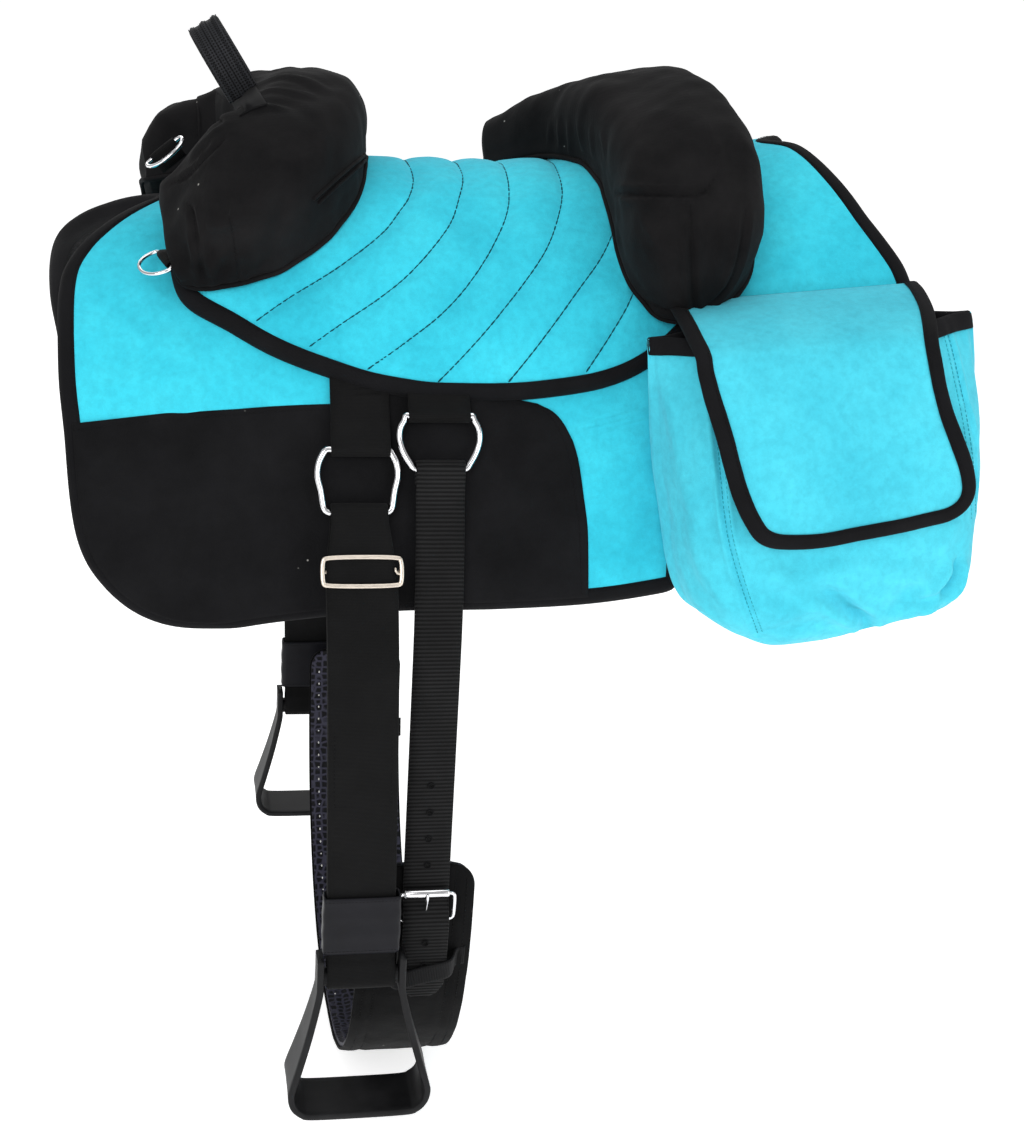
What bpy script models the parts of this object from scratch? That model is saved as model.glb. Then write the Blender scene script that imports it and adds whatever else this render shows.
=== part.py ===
"""Bareback riding pad with pommel roll, cantle roll, saddle bags, stirrups and girth.

Frame: +X points to the horse's tail, -X to its withers, -Y is the horse's near
(left) side, +Z is up.  The origin is on the underside of the pad, on the spine
line at mid length, where the pad lies on the horse's back.
Lengths in this file are millimetres; the meshes are made in metres.
"""
import bpy
import bmesh
import math
from mathutils import Vector, Matrix

MM = 0.001
NEAR, FAR = False, True

# ---------------------------------------------------------------- dimensions
PAD_MAX_ANGLE = math.radians(84.0)   # slope of the panel at its lower edge
PAD_CURVE = 178.0                    # how quickly the drape turns down from the spine
SPINE = [(-420, -44), (-300, -26), (-200, -10), (-100, -1), (0, 0),
         (100, 6), (200, 24), (300, 48), (400, 62)]
FAR_SKEW = -24.0                     # the far panel lies this much further forward
LINING_T = 4.0                       # fleece lining
FELT_T = 9.0                         # felt core
COVER_T = 3.2                        # suede cover
PATCH_T = 1.2                        # canvas wear patch
GAP = 0.5
PATCH_GAP = 1.5
SEAT_GAP = 2.0
BINDING_W = 6.0
SEAT_FOAM_T = 11.0
SEAT_COVER_T = 2.2
WEB_64 = 64.0                        # 2 1/2 inch webbing
WEB_44 = 44.5                        # 1 3/4 inch webbing
WEB_T = 2.6
RING_WIRE = 6.4                      # D-ring wire diameter
LOOP_PLAY = 2.6                      # slack of a hanging loop round its bar
STRAP_X = -132.0                     # stirrup strap's centre line at its ring
STRAP_LEAN = 0.020                   # and how far it runs rearward going down
STIRRUP_X = -123.0
GIRTH_X = -66.0                      # centre line of the girth
BILLET_X = -59.0                     # centre line of the girth billets
STRAP_Y = -308.0                     # plane in which the stirrup straps hang
STIRRUP_BOLT_Z = -685.0
GIRTH_TOP_Z, GIRTH_DROP, GIRTH_HALF = -600.0, 312.0, 266.0
GIRTH_POWER = 2.3
GIRTH_W = 110.0
ROLLER_Y, ROLLER_Z = -280.4, -616.0
PIVOT_BAR_Y, PIVOT_BAR_Z = -277.4, -646.0

# ---------------------------------------------------------------- drape of the pad
_STEP = 2.0
_table = [(0.0, 0.0, 0.0)]
for _k in range(int(700 / _STEP)):
    _s = (_k + 0.5) * _STEP
    _a = PAD_MAX_ANGLE * (1 - math.exp(-_s / PAD_CURVE))
    _p = _table[-1]
    _table.append((_p[0] + _STEP, _p[1] + _STEP * math.cos(_a), _p[2] - _STEP * math.sin(_a)))


def interp(x, pairs):
    if x <= pairs[0][0]:
        return pairs[0][1]
    for (xa, ya), (xb, yb) in zip(pairs, pairs[1:]):
        if x <= xb:
            return ya + (yb - ya) * (x - xa) / (xb - xa)
    return pairs[-1][1]


def smooth_interp(x, pairs):
    """Piecewise cubic through the pairs, so that the spine line has no kinks."""
    if x <= pairs[0][0]:
        return pairs[0][1]
    if x >= pairs[-1][0]:
        return pairs[-1][1]
    k = max(i for i in range(len(pairs) - 1) if pairs[i][0] <= x)
    x0, y0 = pairs[k]
    x1, y1 = pairs[k + 1]

    def slope(i):
        a, b = pairs[max(i - 1, 0)], pairs[min(i + 1, len(pairs) - 1)]
        return (b[1] - a[1]) / (b[0] - a[0])
    h = x1 - x0
    t = (x - x0) / h
    m0, m1 = slope(k) * h, slope(k + 1) * h
    return ((2 * t ** 3 - 3 * t ** 2 + 1) * y0 + (t ** 3 - 2 * t ** 2 + t) * m0
            + (-2 * t ** 3 + 3 * t ** 2) * y1 + (t ** 3 - t ** 2) * m1)


def drape(x, u, h=0.0):
    """Point of the pad at x along the back, u along the cloth from the spine
    (negative on the near side) and h above the underside."""
    s = abs(u)
    sign = -1.0 if u < 0 else 1.0
    a = PAD_MAX_ANGLE * (1 - math.exp(-s / PAD_CURVE))
    k = min(int(s / _STEP), len(_table) - 2)
    f = (s - _table[k][0]) / _STEP
    y = _table[k][1] + f * (_table[k + 1][1] - _table[k][1])
    z = _table[k][2] + f * (_table[k + 1][2] - _table[k][2])
    m = (smooth_interp(x + 4, SPINE) - smooth_interp(x - 4, SPINE)) / 8.0
    n = h / math.sqrt(1 + (m * math.cos(a)) ** 2)
    return Vector((x - n * m * math.cos(a), sign * (y + n * math.sin(a)),
                   smooth_interp(x, SPINE) + z + n * math.cos(a)))


def skew(u):
    """Forward shift of the far panel, growing smoothly from the spine."""
    t = min(max(u / 200.0, 0.0), 1.0)
    return FAR_SKEW * t * t * (3 - 2 * t)


def normal(x, u, ease=1.0):
    a = PAD_MAX_ANGLE * (1 - math.exp(-abs(u) * ease / PAD_CURVE))
    sign = -1.0 if u < 0 else 1.0
    return Vector((0, sign * math.sin(a), math.cos(a)))


# ---------------------------------------------------------------- scene helpers
for _o in list(bpy.data.objects):
    bpy.data.objects.remove(_o, do_unlink=True)

part_col = bpy.data.collections.new("bareback_pad")
cut_col = bpy.data.collections.new("cutters")
bpy.context.scene.collection.children.link(part_col)
bpy.context.scene.collection.children.link(cut_col)

_mats = {}


def material(name, colour, rough, metal=0.0):
    if name not in _mats:
        m = bpy.data.materials.new(name)
        m.use_nodes = True
        b = m.node_tree.nodes["Principled BSDF"]
        b.inputs["Base Color"].default_value = (*colour, 1)
        b.inputs["Roughness"].default_value = rough
        b.inputs["Metallic"].default_value = metal
        _mats[name] = m
    return _mats[name]


SUEDE = ("suede", (0.045, 0.50, 0.66), 0.95, 0.0)
CANVAS = ("canvas", (0.010, 0.010, 0.011), 0.9, 0.0)
WEBBING = ("webbing", (0.008, 0.008, 0.009), 0.8, 0.0)
FLEECE = ("fleece", (0.012, 0.012, 0.013), 1.0, 0.0)
FELT = ("felt", (0.10, 0.10, 0.10), 1.0, 0.0)
FOAM = ("foam", (0.60, 0.58, 0.52), 1.0, 0.0)
FIBRE = ("fibre", (0.75, 0.75, 0.73), 1.0, 0.0)
CHROME = ("chrome", (0.75, 0.75, 0.76), 0.15, 1.0)
NICKEL = ("brushed_nickel", (0.62, 0.58, 0.52), 0.35, 1.0)
PLASTIC = ("stirrup_plastic", (0.02, 0.02, 0.022), 0.5, 0.0)
LEATHER = ("smooth_leather", (0.012, 0.011, 0.013), 0.45, 0.0)
NEOPRENE = ("neoprene", (0.02, 0.02, 0.025), 0.7, 0.0)

_bodies = {}


def body(name, pivot=(0, 0, 0), parent=None):
    """Empty that carries the pieces of one body, on its joint's axis."""
    e = bpy.data.objects.new(name + "_axis", None)
    e.empty_display_size = 0.02
    part_col.objects.link(e)
    p = Vector(pivot)
    if parent:
        e.parent = _bodies[parent][0]
        e.location = (p - _bodies[parent][1]) * MM
    else:
        e.location = p * MM
    _bodies[name] = (e, p)
    return e


def add(name, mesh, mat, carrier, mirror=False, cutter=False):
    """Mesh in world millimetres to an object on its body's empty."""
    e, pivot = _bodies[carrier]
    bm = bmesh.new()
    bm.from_mesh(mesh)
    if mirror:
        bmesh.ops.scale(bm, vec=(1, -1, 1), verts=bm.verts)
        bmesh.ops.reverse_faces(bm, faces=bm.faces)
    bmesh.ops.translate(bm, vec=-pivot, verts=bm.verts)
    bmesh.ops.scale(bm, vec=(MM, MM, MM), verts=bm.verts)
    bm.to_mesh(mesh)
    bm.free()
    mesh.name = name
    o = bpy.data.objects.new(name, mesh)
    (cut_col if cutter else part_col).objects.link(o)
    o.parent = e
    if cutter:
        o.hide_render = True
        o.display_type = 'WIRE'
    else:
        mesh.materials.append(material(*mat))
        mesh.shade_smooth()
        mesh.set_sharp_from_angle(angle=math.radians(35))
    return o


def grid_mesh(points, cyclic=False, cap_start=False, cap_end=False, tube=False):
    """Grid primitive whose vertex (i, j) is moved to points[i][j].
    cyclic joins the last i to the first; caps close the first or last j;
    tube means that the first and last j are the same points too."""
    ni, nj = len(points), len(points[0])
    bm = bmesh.new()
    bmesh.ops.create_grid(bm, x_segments=(ni if cyclic else ni - 1), y_segments=nj - 1, size=1.0)
    ring = {}
    for v in bm.verts:
        i = round((v.co.x + 1) / 2 * (ni if cyclic else ni - 1))
        j = round((v.co.y + 1) / 2 * (nj - 1))
        v.co = Vector(points[i % ni][j])
        if i < ni:
            ring[(i, j)] = v
    if cyclic:
        bmesh.ops.remove_doubles(bm, verts=bm.verts, dist=0.001)
        ring = {}
        for v in bm.verts:
            best = None
            for i in range(ni):
                for j in (0, nj - 1):
                    if (v.co - Vector(points[i][j])).length < 0.01:
                        best = (i, j)
            if best:
                ring[best] = v
    if cap_start:
        bm.faces.new([ring[(i, 0)] for i in range(ni)][::-1])
    if cap_end:
        bm.faces.new([ring[(i, nj - 1)] for i in range(ni)])
    if cap_start or cap_end or tube:
        bmesh.ops.recalc_face_normals(bm, faces=bm.faces)
    me = bpy.data.meshes.new("grid")
    bm.to_mesh(me)
    bm.free()
    return me


def solidify(o, thickness, offset):
    m = o.modifiers.new("thickness", 'SOLIDIFY')
    m.thickness = thickness * MM
    m.offset = offset
    m.use_even_offset = True
    m.use_rim = True
    return o


def bevel(o, width, segments=1, angle=35):
    m = o.modifiers.new("edges", 'BEVEL')
    m.width = width * MM
    m.segments = segments
    m.limit_method = 'ANGLE'
    m.angle_limit = math.radians(angle)
    return o


def cut(o, cutter):
    m = o.modifiers.new("cut", 'BOOLEAN')
    m.operation = 'DIFFERENCE'
    m.object = cutter
    return o


def join(o, other):
    m = o.modifiers.new("join", 'BOOLEAN')
    m.operation = 'UNION'
    m.object = other
    return o


def box_mesh(lo, hi):
    bm = bmesh.new()
    bmesh.ops.create_cube(bm, size=1.0)
    lo, hi = Vector(lo), Vector(hi)
    for v in bm.verts:
        v.co = Vector(tuple(lo[k] if v.co[k] < 0 else hi[k] for k in range(3)))
    me = bpy.data.meshes.new("box")
    bm.to_mesh(me)
    bm.free()
    return me


def rod_mesh(a, b, radius, sides=12):
    a, b = Vector(a), Vector(b)
    bm = bmesh.new()
    bmesh.ops.create_cone(bm, cap_ends=True, segments=sides, radius1=radius, radius2=radius,
                          depth=(b - a).length)
    m = Matrix.Translation((a + b) / 2) @ (b - a).to_track_quat('Z', 'Y').to_matrix().to_4x4()
    bmesh.ops.transform(bm, matrix=m, verts=bm.verts)
    me = bpy.data.meshes.new("rod")
    bm.to_mesh(me)
    bm.free()
    return me


def wire_mesh(points, radius, cyclic=True, sides=2):
    """Round wire through the points, as a POLY curve with a round bevel."""
    cu = bpy.data.curves.new("wire", 'CURVE')
    cu.dimensions = '3D'
    sp = cu.splines.new('POLY')
    sp.points.add(len(points) - 1)
    for p, q in zip(sp.points, points):
        p.co = (*q, 1)
    sp.use_cyclic_u = cyclic
    cu.bevel_depth = radius
    cu.bevel_resolution = sides
    cu.use_fill_caps = not cyclic
    o = bpy.data.objects.new("wire", cu)
    bpy.context.scene.collection.objects.link(o)
    bpy.context.view_layer.update()
    dg = bpy.context.evaluated_depsgraph_get()
    me = bpy.data.meshes.new_from_object(o.evaluated_get(dg))
    bpy.data.objects.remove(o, do_unlink=True)
    bm = bmesh.new()
    bm.from_mesh(me)
    bmesh.ops.remove_doubles(bm, verts=bm.verts, dist=0.01)
    bmesh.ops.recalc_face_normals(bm, faces=bm.faces)
    bm.to_mesh(me)
    bm.free()
    me.materials.clear()
    return me


def arc(cy, cz, r, a0, a1, n):
    """Points of a circle in the (y, z) plane; the angle is from +y to +z."""
    return [(cy + r * math.cos(math.radians(a0 + (a1 - a0) * k / n)),
             cz + r * math.sin(math.radians(a0 + (a1 - a0) * k / n))) for k in range(n + 1)]


def strip(path_yz, x0, x1, nx=1):
    """Points of a strap that lies across x0..x1 and follows path_yz."""
    return [[(x0 + (x1 - x0) * i / nx, y, z) for (y, z) in path_yz] for i in range(nx + 1)]


def catmull(pts, n):
    """Smooth curve through points, n steps for each stretch."""
    P = [Vector(p) for p in pts]
    P = [2 * P[0] - P[1]] + P + [2 * P[-1] - P[-2]]
    out = []
    for k in range(1, len(P) - 2):
        for i in range(n):
            t = i / n
            a, b, c, d = P[k - 1], P[k], P[k + 1], P[k + 2]
            out.append(0.5 * ((2 * b) + (c - a) * t + (2 * a - 5 * b + 4 * c - d) * t * t
                              + (3 * b - a - 3 * c + d) * t ** 3))
    out.append(P[-2])
    return out


# ---------------------------------------------------------------- bodies and axes
RING_S_TOP = (STRAP_X - 1,) + tuple(drape(STRAP_X, -303, 27.6))[1:]
RING_S_LOW = (STRAP_X - 1,) + tuple(drape(STRAP_X, -357, 29.6))[1:]
RING_G_TOP = (BILLET_X,) + tuple(drape(BILLET_X, -276, 27.6))[1:]
RING_G_LOW = (BILLET_X,) + tuple(drape(BILLET_X, -322, 29.6))[1:]
FLAP_AXIS = (285.0, -186.0, -58.0)
FLAP_FOLD = (285.0, -298.0, -78.0)
HANDLE_BASE = (-229.0, 0.0, 94.0)

body("root")
for side, sg in (("near", 1), ("far", -1)):
    def at(p, sg=sg):
        return (p[0], p[1] * sg, p[2])
    body("ring_s_" + side, at(RING_S_TOP), "root")
    body("strap_" + side, at((STRAP_X, RING_S_LOW[1], RING_S_LOW[2])), "ring_s_" + side)
    body("slide_" + side, at((STRAP_X, -278, -290)), "strap_" + side)
    body("keeper_" + side, at((STIRRUP_X, STRAP_Y, -628)), "strap_" + side)
    body("stirrup_" + side, at((STIRRUP_X, STRAP_Y, STIRRUP_BOLT_Z)), "strap_" + side)
    body("flap_top_" + side, at(FLAP_AXIS), "root")
    body("flap_" + side, at(FLAP_FOLD), "flap_top_" + side)
body("girth", (BILLET_X, 0.0, RING_G_LOW[2]), "root")
for side, sg in (("near", 1), ("far", -1)):
    body("roller_" + side, (BILLET_X, ROLLER_Y * sg, ROLLER_Z), "girth")
    body("tongue_" + side, (BILLET_X, PIVOT_BAR_Y * sg, PIVOT_BAR_Z), "girth")
body("handle", HANDLE_BASE, "root")

# ---------------------------------------------------------------- main pad layers
ROWS = [0, 28, 58, 90, 124, 158, 192, 225, 252, 276, 292, 330, 366, 398, 421, 435, 443]
FRONT = [(0, -300), (43, -345), (79, -374), (106, -386), (140, -389), (200, -388), (255, -383),
         (308, -379), (342, -374), (366, -366), (387, -353), (410, -332), (427, -306), (435, -284),
         (443, -240)]
REAR = [(0, 291), (24, 314), (71, 330), (134, 354), (189, 383), (225, 392), (252, 385), (276, 320),
        (292, 176), (306, 166), (443, 164)]


def pad_grid(h, columns, inset=0.0):
    rows = sorted(set([-r for r in ROWS] + ROWS))
    pts = []
    for i in range(columns + 1):
        t = i / columns
        line = []
        for u in rows:
            s = abs(u)
            s2 = min(s, ROWS[-1] - inset)
            xa, xb = interp(s2, FRONT) + inset, interp(s2, REAR) - inset
            line.append(drape(xa + (xb - xa) * t + skew(u), math.copysign(s2, u), h))
        pts.append(line)
    return pts


H0 = LINING_T
H1 = H0 + GAP
H2 = H1 + FELT_T
H3 = H2 + GAP
H4 = H3 + COVER_T          # top of the suede cover
solidify(add("lining_fleece", grid_mesh(pad_grid(0.0, 7)), FLEECE, "root"), LINING_T, 1)
solidify(add("felt_core", grid_mesh(pad_grid(H1, 7)), FELT, "root"), FELT_T, 1)
solidify(add("suede_cover", grid_mesh(pad_grid(H3, 7)), SUEDE, "root"), COVER_T, 1)


def outline(inset=0.0):
    """Closed outline of the pad in (x, u), near bottom edge first."""
    near_front = [(interp(s, FRONT), -s) for s in ROWS]
    near_rear = [(interp(s, REAR), -s) for s in ROWS]
    far_front = [(x + skew(-u), -u) for x, u in near_front]
    far_rear = [(x + skew(-u), -u) for x, u in near_rear]
    bottom_n = [(near_front[-1][0] + (near_rear[-1][0] - near_front[-1][0]) * k / 7, -ROWS[-1])
                for k in range(1, 7)]
    bottom_f = [(far_front[-1][0] + (far_rear[-1][0] - far_front[-1][0]) * k / 7, ROWS[-1])
                for k in range(6, 0, -1)]
    return (near_front + bottom_n + near_rear[::-1] + far_rear[1:] + bottom_f
            + far_front[::-1][:-1])


def rim_points(loop, w0, w1, h0, h1):
    """Closed band outside a closed (x, u) outline, from w0 to w1 away from it
    and from h0 to h1 above the underside."""
    n = len(loop)
    area = sum(loop[i][0] * loop[(i + 1) % n][1] - loop[(i + 1) % n][0] * loop[i][1] for i in range(n))
    turn = 1.0 if area > 0 else -1.0
    pts = []
    for i in range(n):
        a, b, c = Vector(loop[i - 1]), Vector(loop[i]), Vector(loop[(i + 1) % n])
        d0, d1 = (b - a).normalized(), (c - b).normalized()
        n0 = Vector((d0.y, -d0.x)) * turn
        n1 = Vector((d1.y, -d1.x)) * turn
        m = (n0 + n1).normalized()
        k = 1.0 / max(m.dot(n0), 0.5)
        inner, outer = b + m * w0 * k, b + m * w1 * k
        pts.append([drape(*inner, h0), drape(*outer, h0), drape(*outer, h1), drape(*inner, h1),
                    drape(*inner, h0)])
    return pts


add("edge_binding", grid_mesh(rim_points(outline(), 1.2, BINDING_W, -1.0, H4 + 1.0), cyclic=True, tube=True),
    WEBBING, "root")

# wear patches of canvas on the lower panels
PATCH_TOP = [(-390, 250), (-300, 250), (-236, 257), (-154, 264), (40, 266)]
PATCH_REAR = [(264, 34), (274, 50), (292, 62), (315, 70), (345, 75), (385, 80), (443, 81)]


def patch_grid(mirror_side):
    pts = []
    for i in range(7):
        t = i / 6
        line = []
        for s in (252, 266, 280, 292, 330, 366, 398, 421, 434, 440):
            xa = interp(s, FRONT) + 3.0
            xb = interp(s, PATCH_REAR)
            x = xa + (xb - xa) * t
            s2 = s
            if s < 280:
                top = interp(x, PATCH_TOP)
                s2 = top + (280 - top) * (s - 252) / 28.0
            u = s2 if mirror_side else -s2
            line.append(drape(x + (skew(u) if mirror_side else 0), u, H4 + PATCH_GAP))
        pts.append(line)
    return pts


solidify(add("wear_patch_near", grid_mesh(patch_grid(False)), CANVAS, "root"), PATCH_T, -1)
solidify(add("wear_patch_far", grid_mesh(patch_grid(True)), CANVAS, "root"), PATCH_T, 1)

# ---------------------------------------------------------------- quilted seat pad
SEAT_ROWS = [0, 28, 58, 90, 124, 158, 190, 218, 236, 246, 252]
SEAT_FRONT = [(0, -284), (92, -286), (143, -280), (180, -236), (200, -210), (215, -184), (231, -148),
              (244, -112), (252, -70)]
SEAT_REAR = [(0, 252), (92, 247), (148, 228), (196, 187), (232, 138), (245, 96), (252, 20)]


def seat_grid(h, columns, inset=0.0):
    rows = sorted(set([-r for r in SEAT_ROWS] + SEAT_ROWS))
    pts = []
    for i in range(columns + 1):
        t = i / columns
        line = []
        for u in rows:
            s = abs(u)
            s2 = min(s, SEAT_ROWS[-1] - inset)
            xa, xb = interp(s2, SEAT_FRONT) + inset, interp(s2, SEAT_REAR) - inset
            line.append(drape(xa + (xb - xa) * t + skew(u), math.copysign(s2, u), h))
        pts.append(line)
    return pts


HS0 = H4 + SEAT_GAP
HS1 = HS0 + SEAT_FOAM_T
HS2 = HS1 + GAP
HS3 = HS2 + SEAT_COVER_T
solidify(add("seat_foam", grid_mesh(seat_grid(HS0, 7)), FOAM, "root"), SEAT_FOAM_T, 1)
solidify(add("seat_cover", grid_mesh(seat_grid(HS2, 7)), SUEDE, "root"), SEAT_COVER_T, 1)


def seat_outline():
    nf = [(interp(s, SEAT_FRONT), -s) for s in SEAT_ROWS]
    nr = [(interp(s, SEAT_REAR), -s) for s in SEAT_ROWS]
    ff = [(x + skew(-u), -u) for x, u in nf]
    fr = [(x + skew(-u), -u) for x, u in nr]
    return nf + nr[::-1] + fr[1:] + ff[::-1][:-1]


add("seat_binding", grid_mesh(rim_points(seat_outline(), 1.1, 7.0, H4 + 3.6, H4 + 14.5), cyclic=True, tube=True),
    WEBBING, "root")

# ---------------------------------------------------------------- pommel and cantle rolls
SECTION = [(-0.50, 0.0), (-0.53, 0.35), (-0.50, 0.70), (-0.38, 0.92), (-0.14, 1.0),
           (0.14, 1.0), (0.38, 0.92), (0.50, 0.70), (0.53, 0.35), (0.50, 0.0),
           (0.25, 0.0), (0.0, 0.0), (-0.25, 0.0)]


def roll_rings(path, h0, shrink=0.0, lean=0.62, closed=False, end_shrink=0.0, cut=0.0):
    """Sections along a path of (x, u, width, height) points on the pad."""
    pts = [Vector((p[0], p[1], 0)) for p in path]
    rings = []
    n = len(path)
    for k, (x, u, w, hh) in enumerate(path):
        t = (pts[min(k + 1, n - 1)] - pts[max(k - 1, 0)]).normalized()
        side = Vector((t.y, -t.x, 0))
        x2, u2 = x, u
        if end_shrink and k in (0, n - 1):
            x2 += t.x * end_shrink * (1 if k == 0 else -1)
            u2 += t.y * end_shrink * (1 if k == 0 else -1)
        w2, h2 = w - 2 * shrink, hh - 2 * shrink
        ring = []
        for a, b in SECTION:
            px, pu = x2 + side.x * a * w2, u2 + side.y * a * w2
            if cut:
                # the end panels slant: their outer and lower parts lie further back
                away = 38.0 * min(k, n - 1 - k)
                px += cut * math.exp(-away / 34.0) * (0.8 * min(max(abs(pu) / 90.0 - 0.62, 0.0), 1.1) + 0.35 * (1 - b))
            base = drape(px, pu, h0 + shrink)
            up = normal(px, u2 * 0.9 + pu * 0.1, lean)
            up = (up + Vector((-0.10, 0, 0))).normalized()
            ring.append(base + up * (b * h2))
        rings.append(ring)
    return rings


def transpose(rings):
    return [[rings[k][i] for k in range(len(rings))] for i in range(len(rings[0]))]


POMMEL_HALF = [(-306, -101, 92, 26), (-268, -101, 97, 59), (-226, -98, 100, 87),
               (-194, -84, 101, 88), (-176, -58, 105, 84), (-168, -28, 110, 81)]
FAR_HEIGHT = (42, 75, 82, 81, 79, 78)
POMMEL = (POMMEL_HALF + [(-166, 0, 112, 80)]
          + [(x - 18 * abs(u) / 100.0, -u, w, hf)
             for (x, u, w, h), hf in zip(POMMEL_HALF[::-1], FAR_HEIGHT[::-1])])
CANTLE = [(178, -192, 92, 82), (182, -160, 116, 84), (182, -120, 126, 82), (179, -80, 126, 77),
          (172, -40, 124, 72), (158, 0, 120, 70), (138, 36, 116, 69), (112, 66, 108, 66),
          (80, 94, 98, 62), (47, 116, 90, 58)]
HR = HS3 + 5.2


def roll(name, path, h0, slit_lo, slit_hi, slant=0.0, inset=3.2, end_inset=3.6):
    """Sewn cover with its zip slit, and the stuffing inside."""
    cover = grid_mesh(transpose(roll_rings(path, h0, cut=slant)), cyclic=True, cap_start=True, cap_end=True)
    o = add(name + "_cover", cover, CANVAS, "root")
    solidify(o, 2.0, -1)
    cut(o, add(name + "_zip_slit", box_mesh(slit_lo, slit_hi), None, "root", cutter=True))
    inner = roll_rings(path, h0, shrink=inset, end_shrink=end_inset, cut=slant)
    add(name + "_filling", grid_mesh(transpose(inner), cyclic=True, cap_start=True, cap_end=True), FIBRE, "root")


roll("pommel", POMMEL, HR, (-133, -75, 38), (-92, -8, 41), 30.0, 4.6, 16.0)
roll("cantle", CANTLE, HR, (198, -110, 60), (262, -20, 63))

# ---------------------------------------------------------------- handle on the pommel
tilt = Matrix.Rotation(math.radians(-32), 3, 'Y')
legs = catmull([(0, -34, 2), (0, -35, 24), (0, -28, 48), (0, -12, 64), (0, 12, 64), (0, 28, 48),
                (0, 35, 24), (0, 34, 2)], 2)
hp = []
for dx in (-15.0, 15.0):
    hp.append([Vector(HANDLE_BASE) + tilt @ (p + Vector((dx, 0, 0))) for p in legs])
solidify(add("handle", grid_mesh(hp), WEBBING, "handle"), 9.0, 0)

# ---------------------------------------------------------------- hanger tabs and rings


def d_ring(low, top, w_top, w_mid, w_low):
    """Rounded trapezoid ring between a top bar and a low bar (centre lines)."""
    low, top = Vector(low), Vector(top)
    up = (top - low)
    ht = up.length
    up.normalize()
    half = [(w_low / 2, 0.0), (w_low / 2 + 4, 2.6), (w_low / 2 + 6, 10.0),
            (w_mid / 2, ht * 0.55), (w_mid / 2 - 0.6, ht * 0.74), (w_mid / 2 - 4, ht * 0.9),
            (w_top / 2, ht - 1.2), (w_top / 2 - 8, ht)]
    loop = half + [(-a, b) for a, b in half[::-1]]
    return [low + Vector((a, 0, 0)) + up * b for a, b in loop]


def ring_tab(top, s_ring, leg_out, leg_in):
    """Webbing folded round a ring's top bar, its legs running up the panel."""
    slope = math.degrees(PAD_MAX_ANGLE * (1 - math.exp(-s_ring / PAD_CURVE)))
    r = RING_WIRE / 2 + 0.5 + WEB_T / 2
    fold = arc(top[1], top[2], r, slope + 80, slope + 280, 9)
    d = Vector((math.cos(math.radians(slope)), math.sin(math.radians(slope))))
    a0, a1 = Vector(fold[0]), Vector(fold[-1])
    return [tuple(a0 + d * leg_out)] + fold + [tuple(a1 + d * leg_in)]


for side, far in (("near", NEAR), ("far", FAR)):
    rs = d_ring(RING_S_LOW, RING_S_TOP, 60, 71, 54)
    add("stirrup_ring_" + side, wire_mesh(rs, RING_WIRE / 2), CHROME, "ring_s_" + side, far)
    rg = d_ring(RING_G_LOW, RING_G_TOP, 66, 72, 47)
    add("girth_ring_" + side, wire_mesh(rg, RING_WIRE / 2), CHROME, "root", far)

    # tabs: webbing sewn at the seat's edge and folded round the ring's top bar
    for nm, top, half_w, s_ring, l_out, l_in in (("stirrup_tab_", RING_S_TOP, 24.0, 303, 27.0, 24.0),
                                                 ("girth_tab_", RING_G_TOP, 26.0, 276, 2.5, 1.5)):
        path = ring_tab(top, s_ring, l_out, l_in)
        o = add(nm + side, grid_mesh(strip(path, top[0] - half_w, top[0] + half_w)), WEBBING, "root", far)
        solidify(o, WEB_T, 0)

# ---------------------------------------------------------------- stirrup straps
STRAP_MID = [(RING_S_LOW[1], RING_S_LOW[2], 0), (RING_S_LOW[1] - 13, RING_S_LOW[2] - 18, 5.4), (-279, -290, 3.4),
             (-291, -322, 3.4), (-300, -358, 3.4), (-305.5, -400, 3.4), (-307.7, -450, 3.4),
             (-308, -520, 3.4), (-308, -595, 3.4), (-308, -656, 3.6), (-308, -671, 7.6),
             (STRAP_Y, STIRRUP_BOLT_Z, 0)]


def strap_x(z):
    return STRAP_X + STRAP_LEAN * (RING_S_LOW[2] - z)


def strap_half(z):
    """Half width: the webbing is gathered a little where it passes the ring."""
    return interp(-z, [(-RING_S_LOW[2] + 6, 25.5), (-RING_S_LOW[2] + 50, WEB_64 / 2)])


def strap_normal(k):
    a, b = STRAP_MID[k - 1], STRAP_MID[k + 1]
    t = Vector((0, b[0] - a[0], b[1] - a[1])).normalized()
    n = Vector((0, t.z, -t.y))
    return t, (n if n.y < 0 else -n)


def strap_loop():
    """Closed loop of webbing round the ring's low bar and the stirrup's bolt."""
    front, back = [], []
    for k in range(1, len(STRAP_MID) - 1):
        y, z, w = STRAP_MID[k]
        n = strap_normal(k)[1]
        front.append((y + n.y * w, z + n.z * w))
        back.append((y - n.y * w, z - n.z * w))
    r1 = RING_WIRE / 2 + LOOP_PLAY + WEB_T / 2
    lead = math.degrees(math.atan2(-18, -13))
    top = arc(RING_S_LOW[1], RING_S_LOW[2], r1, lead + 80, lead + 280, 9)
    bottom = arc(STRAP_Y, STIRRUP_BOLT_Z, 9.0 + 0.6 + WEB_T / 2, 180, 360, 8)
    return top + front + bottom + back[::-1]


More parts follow.
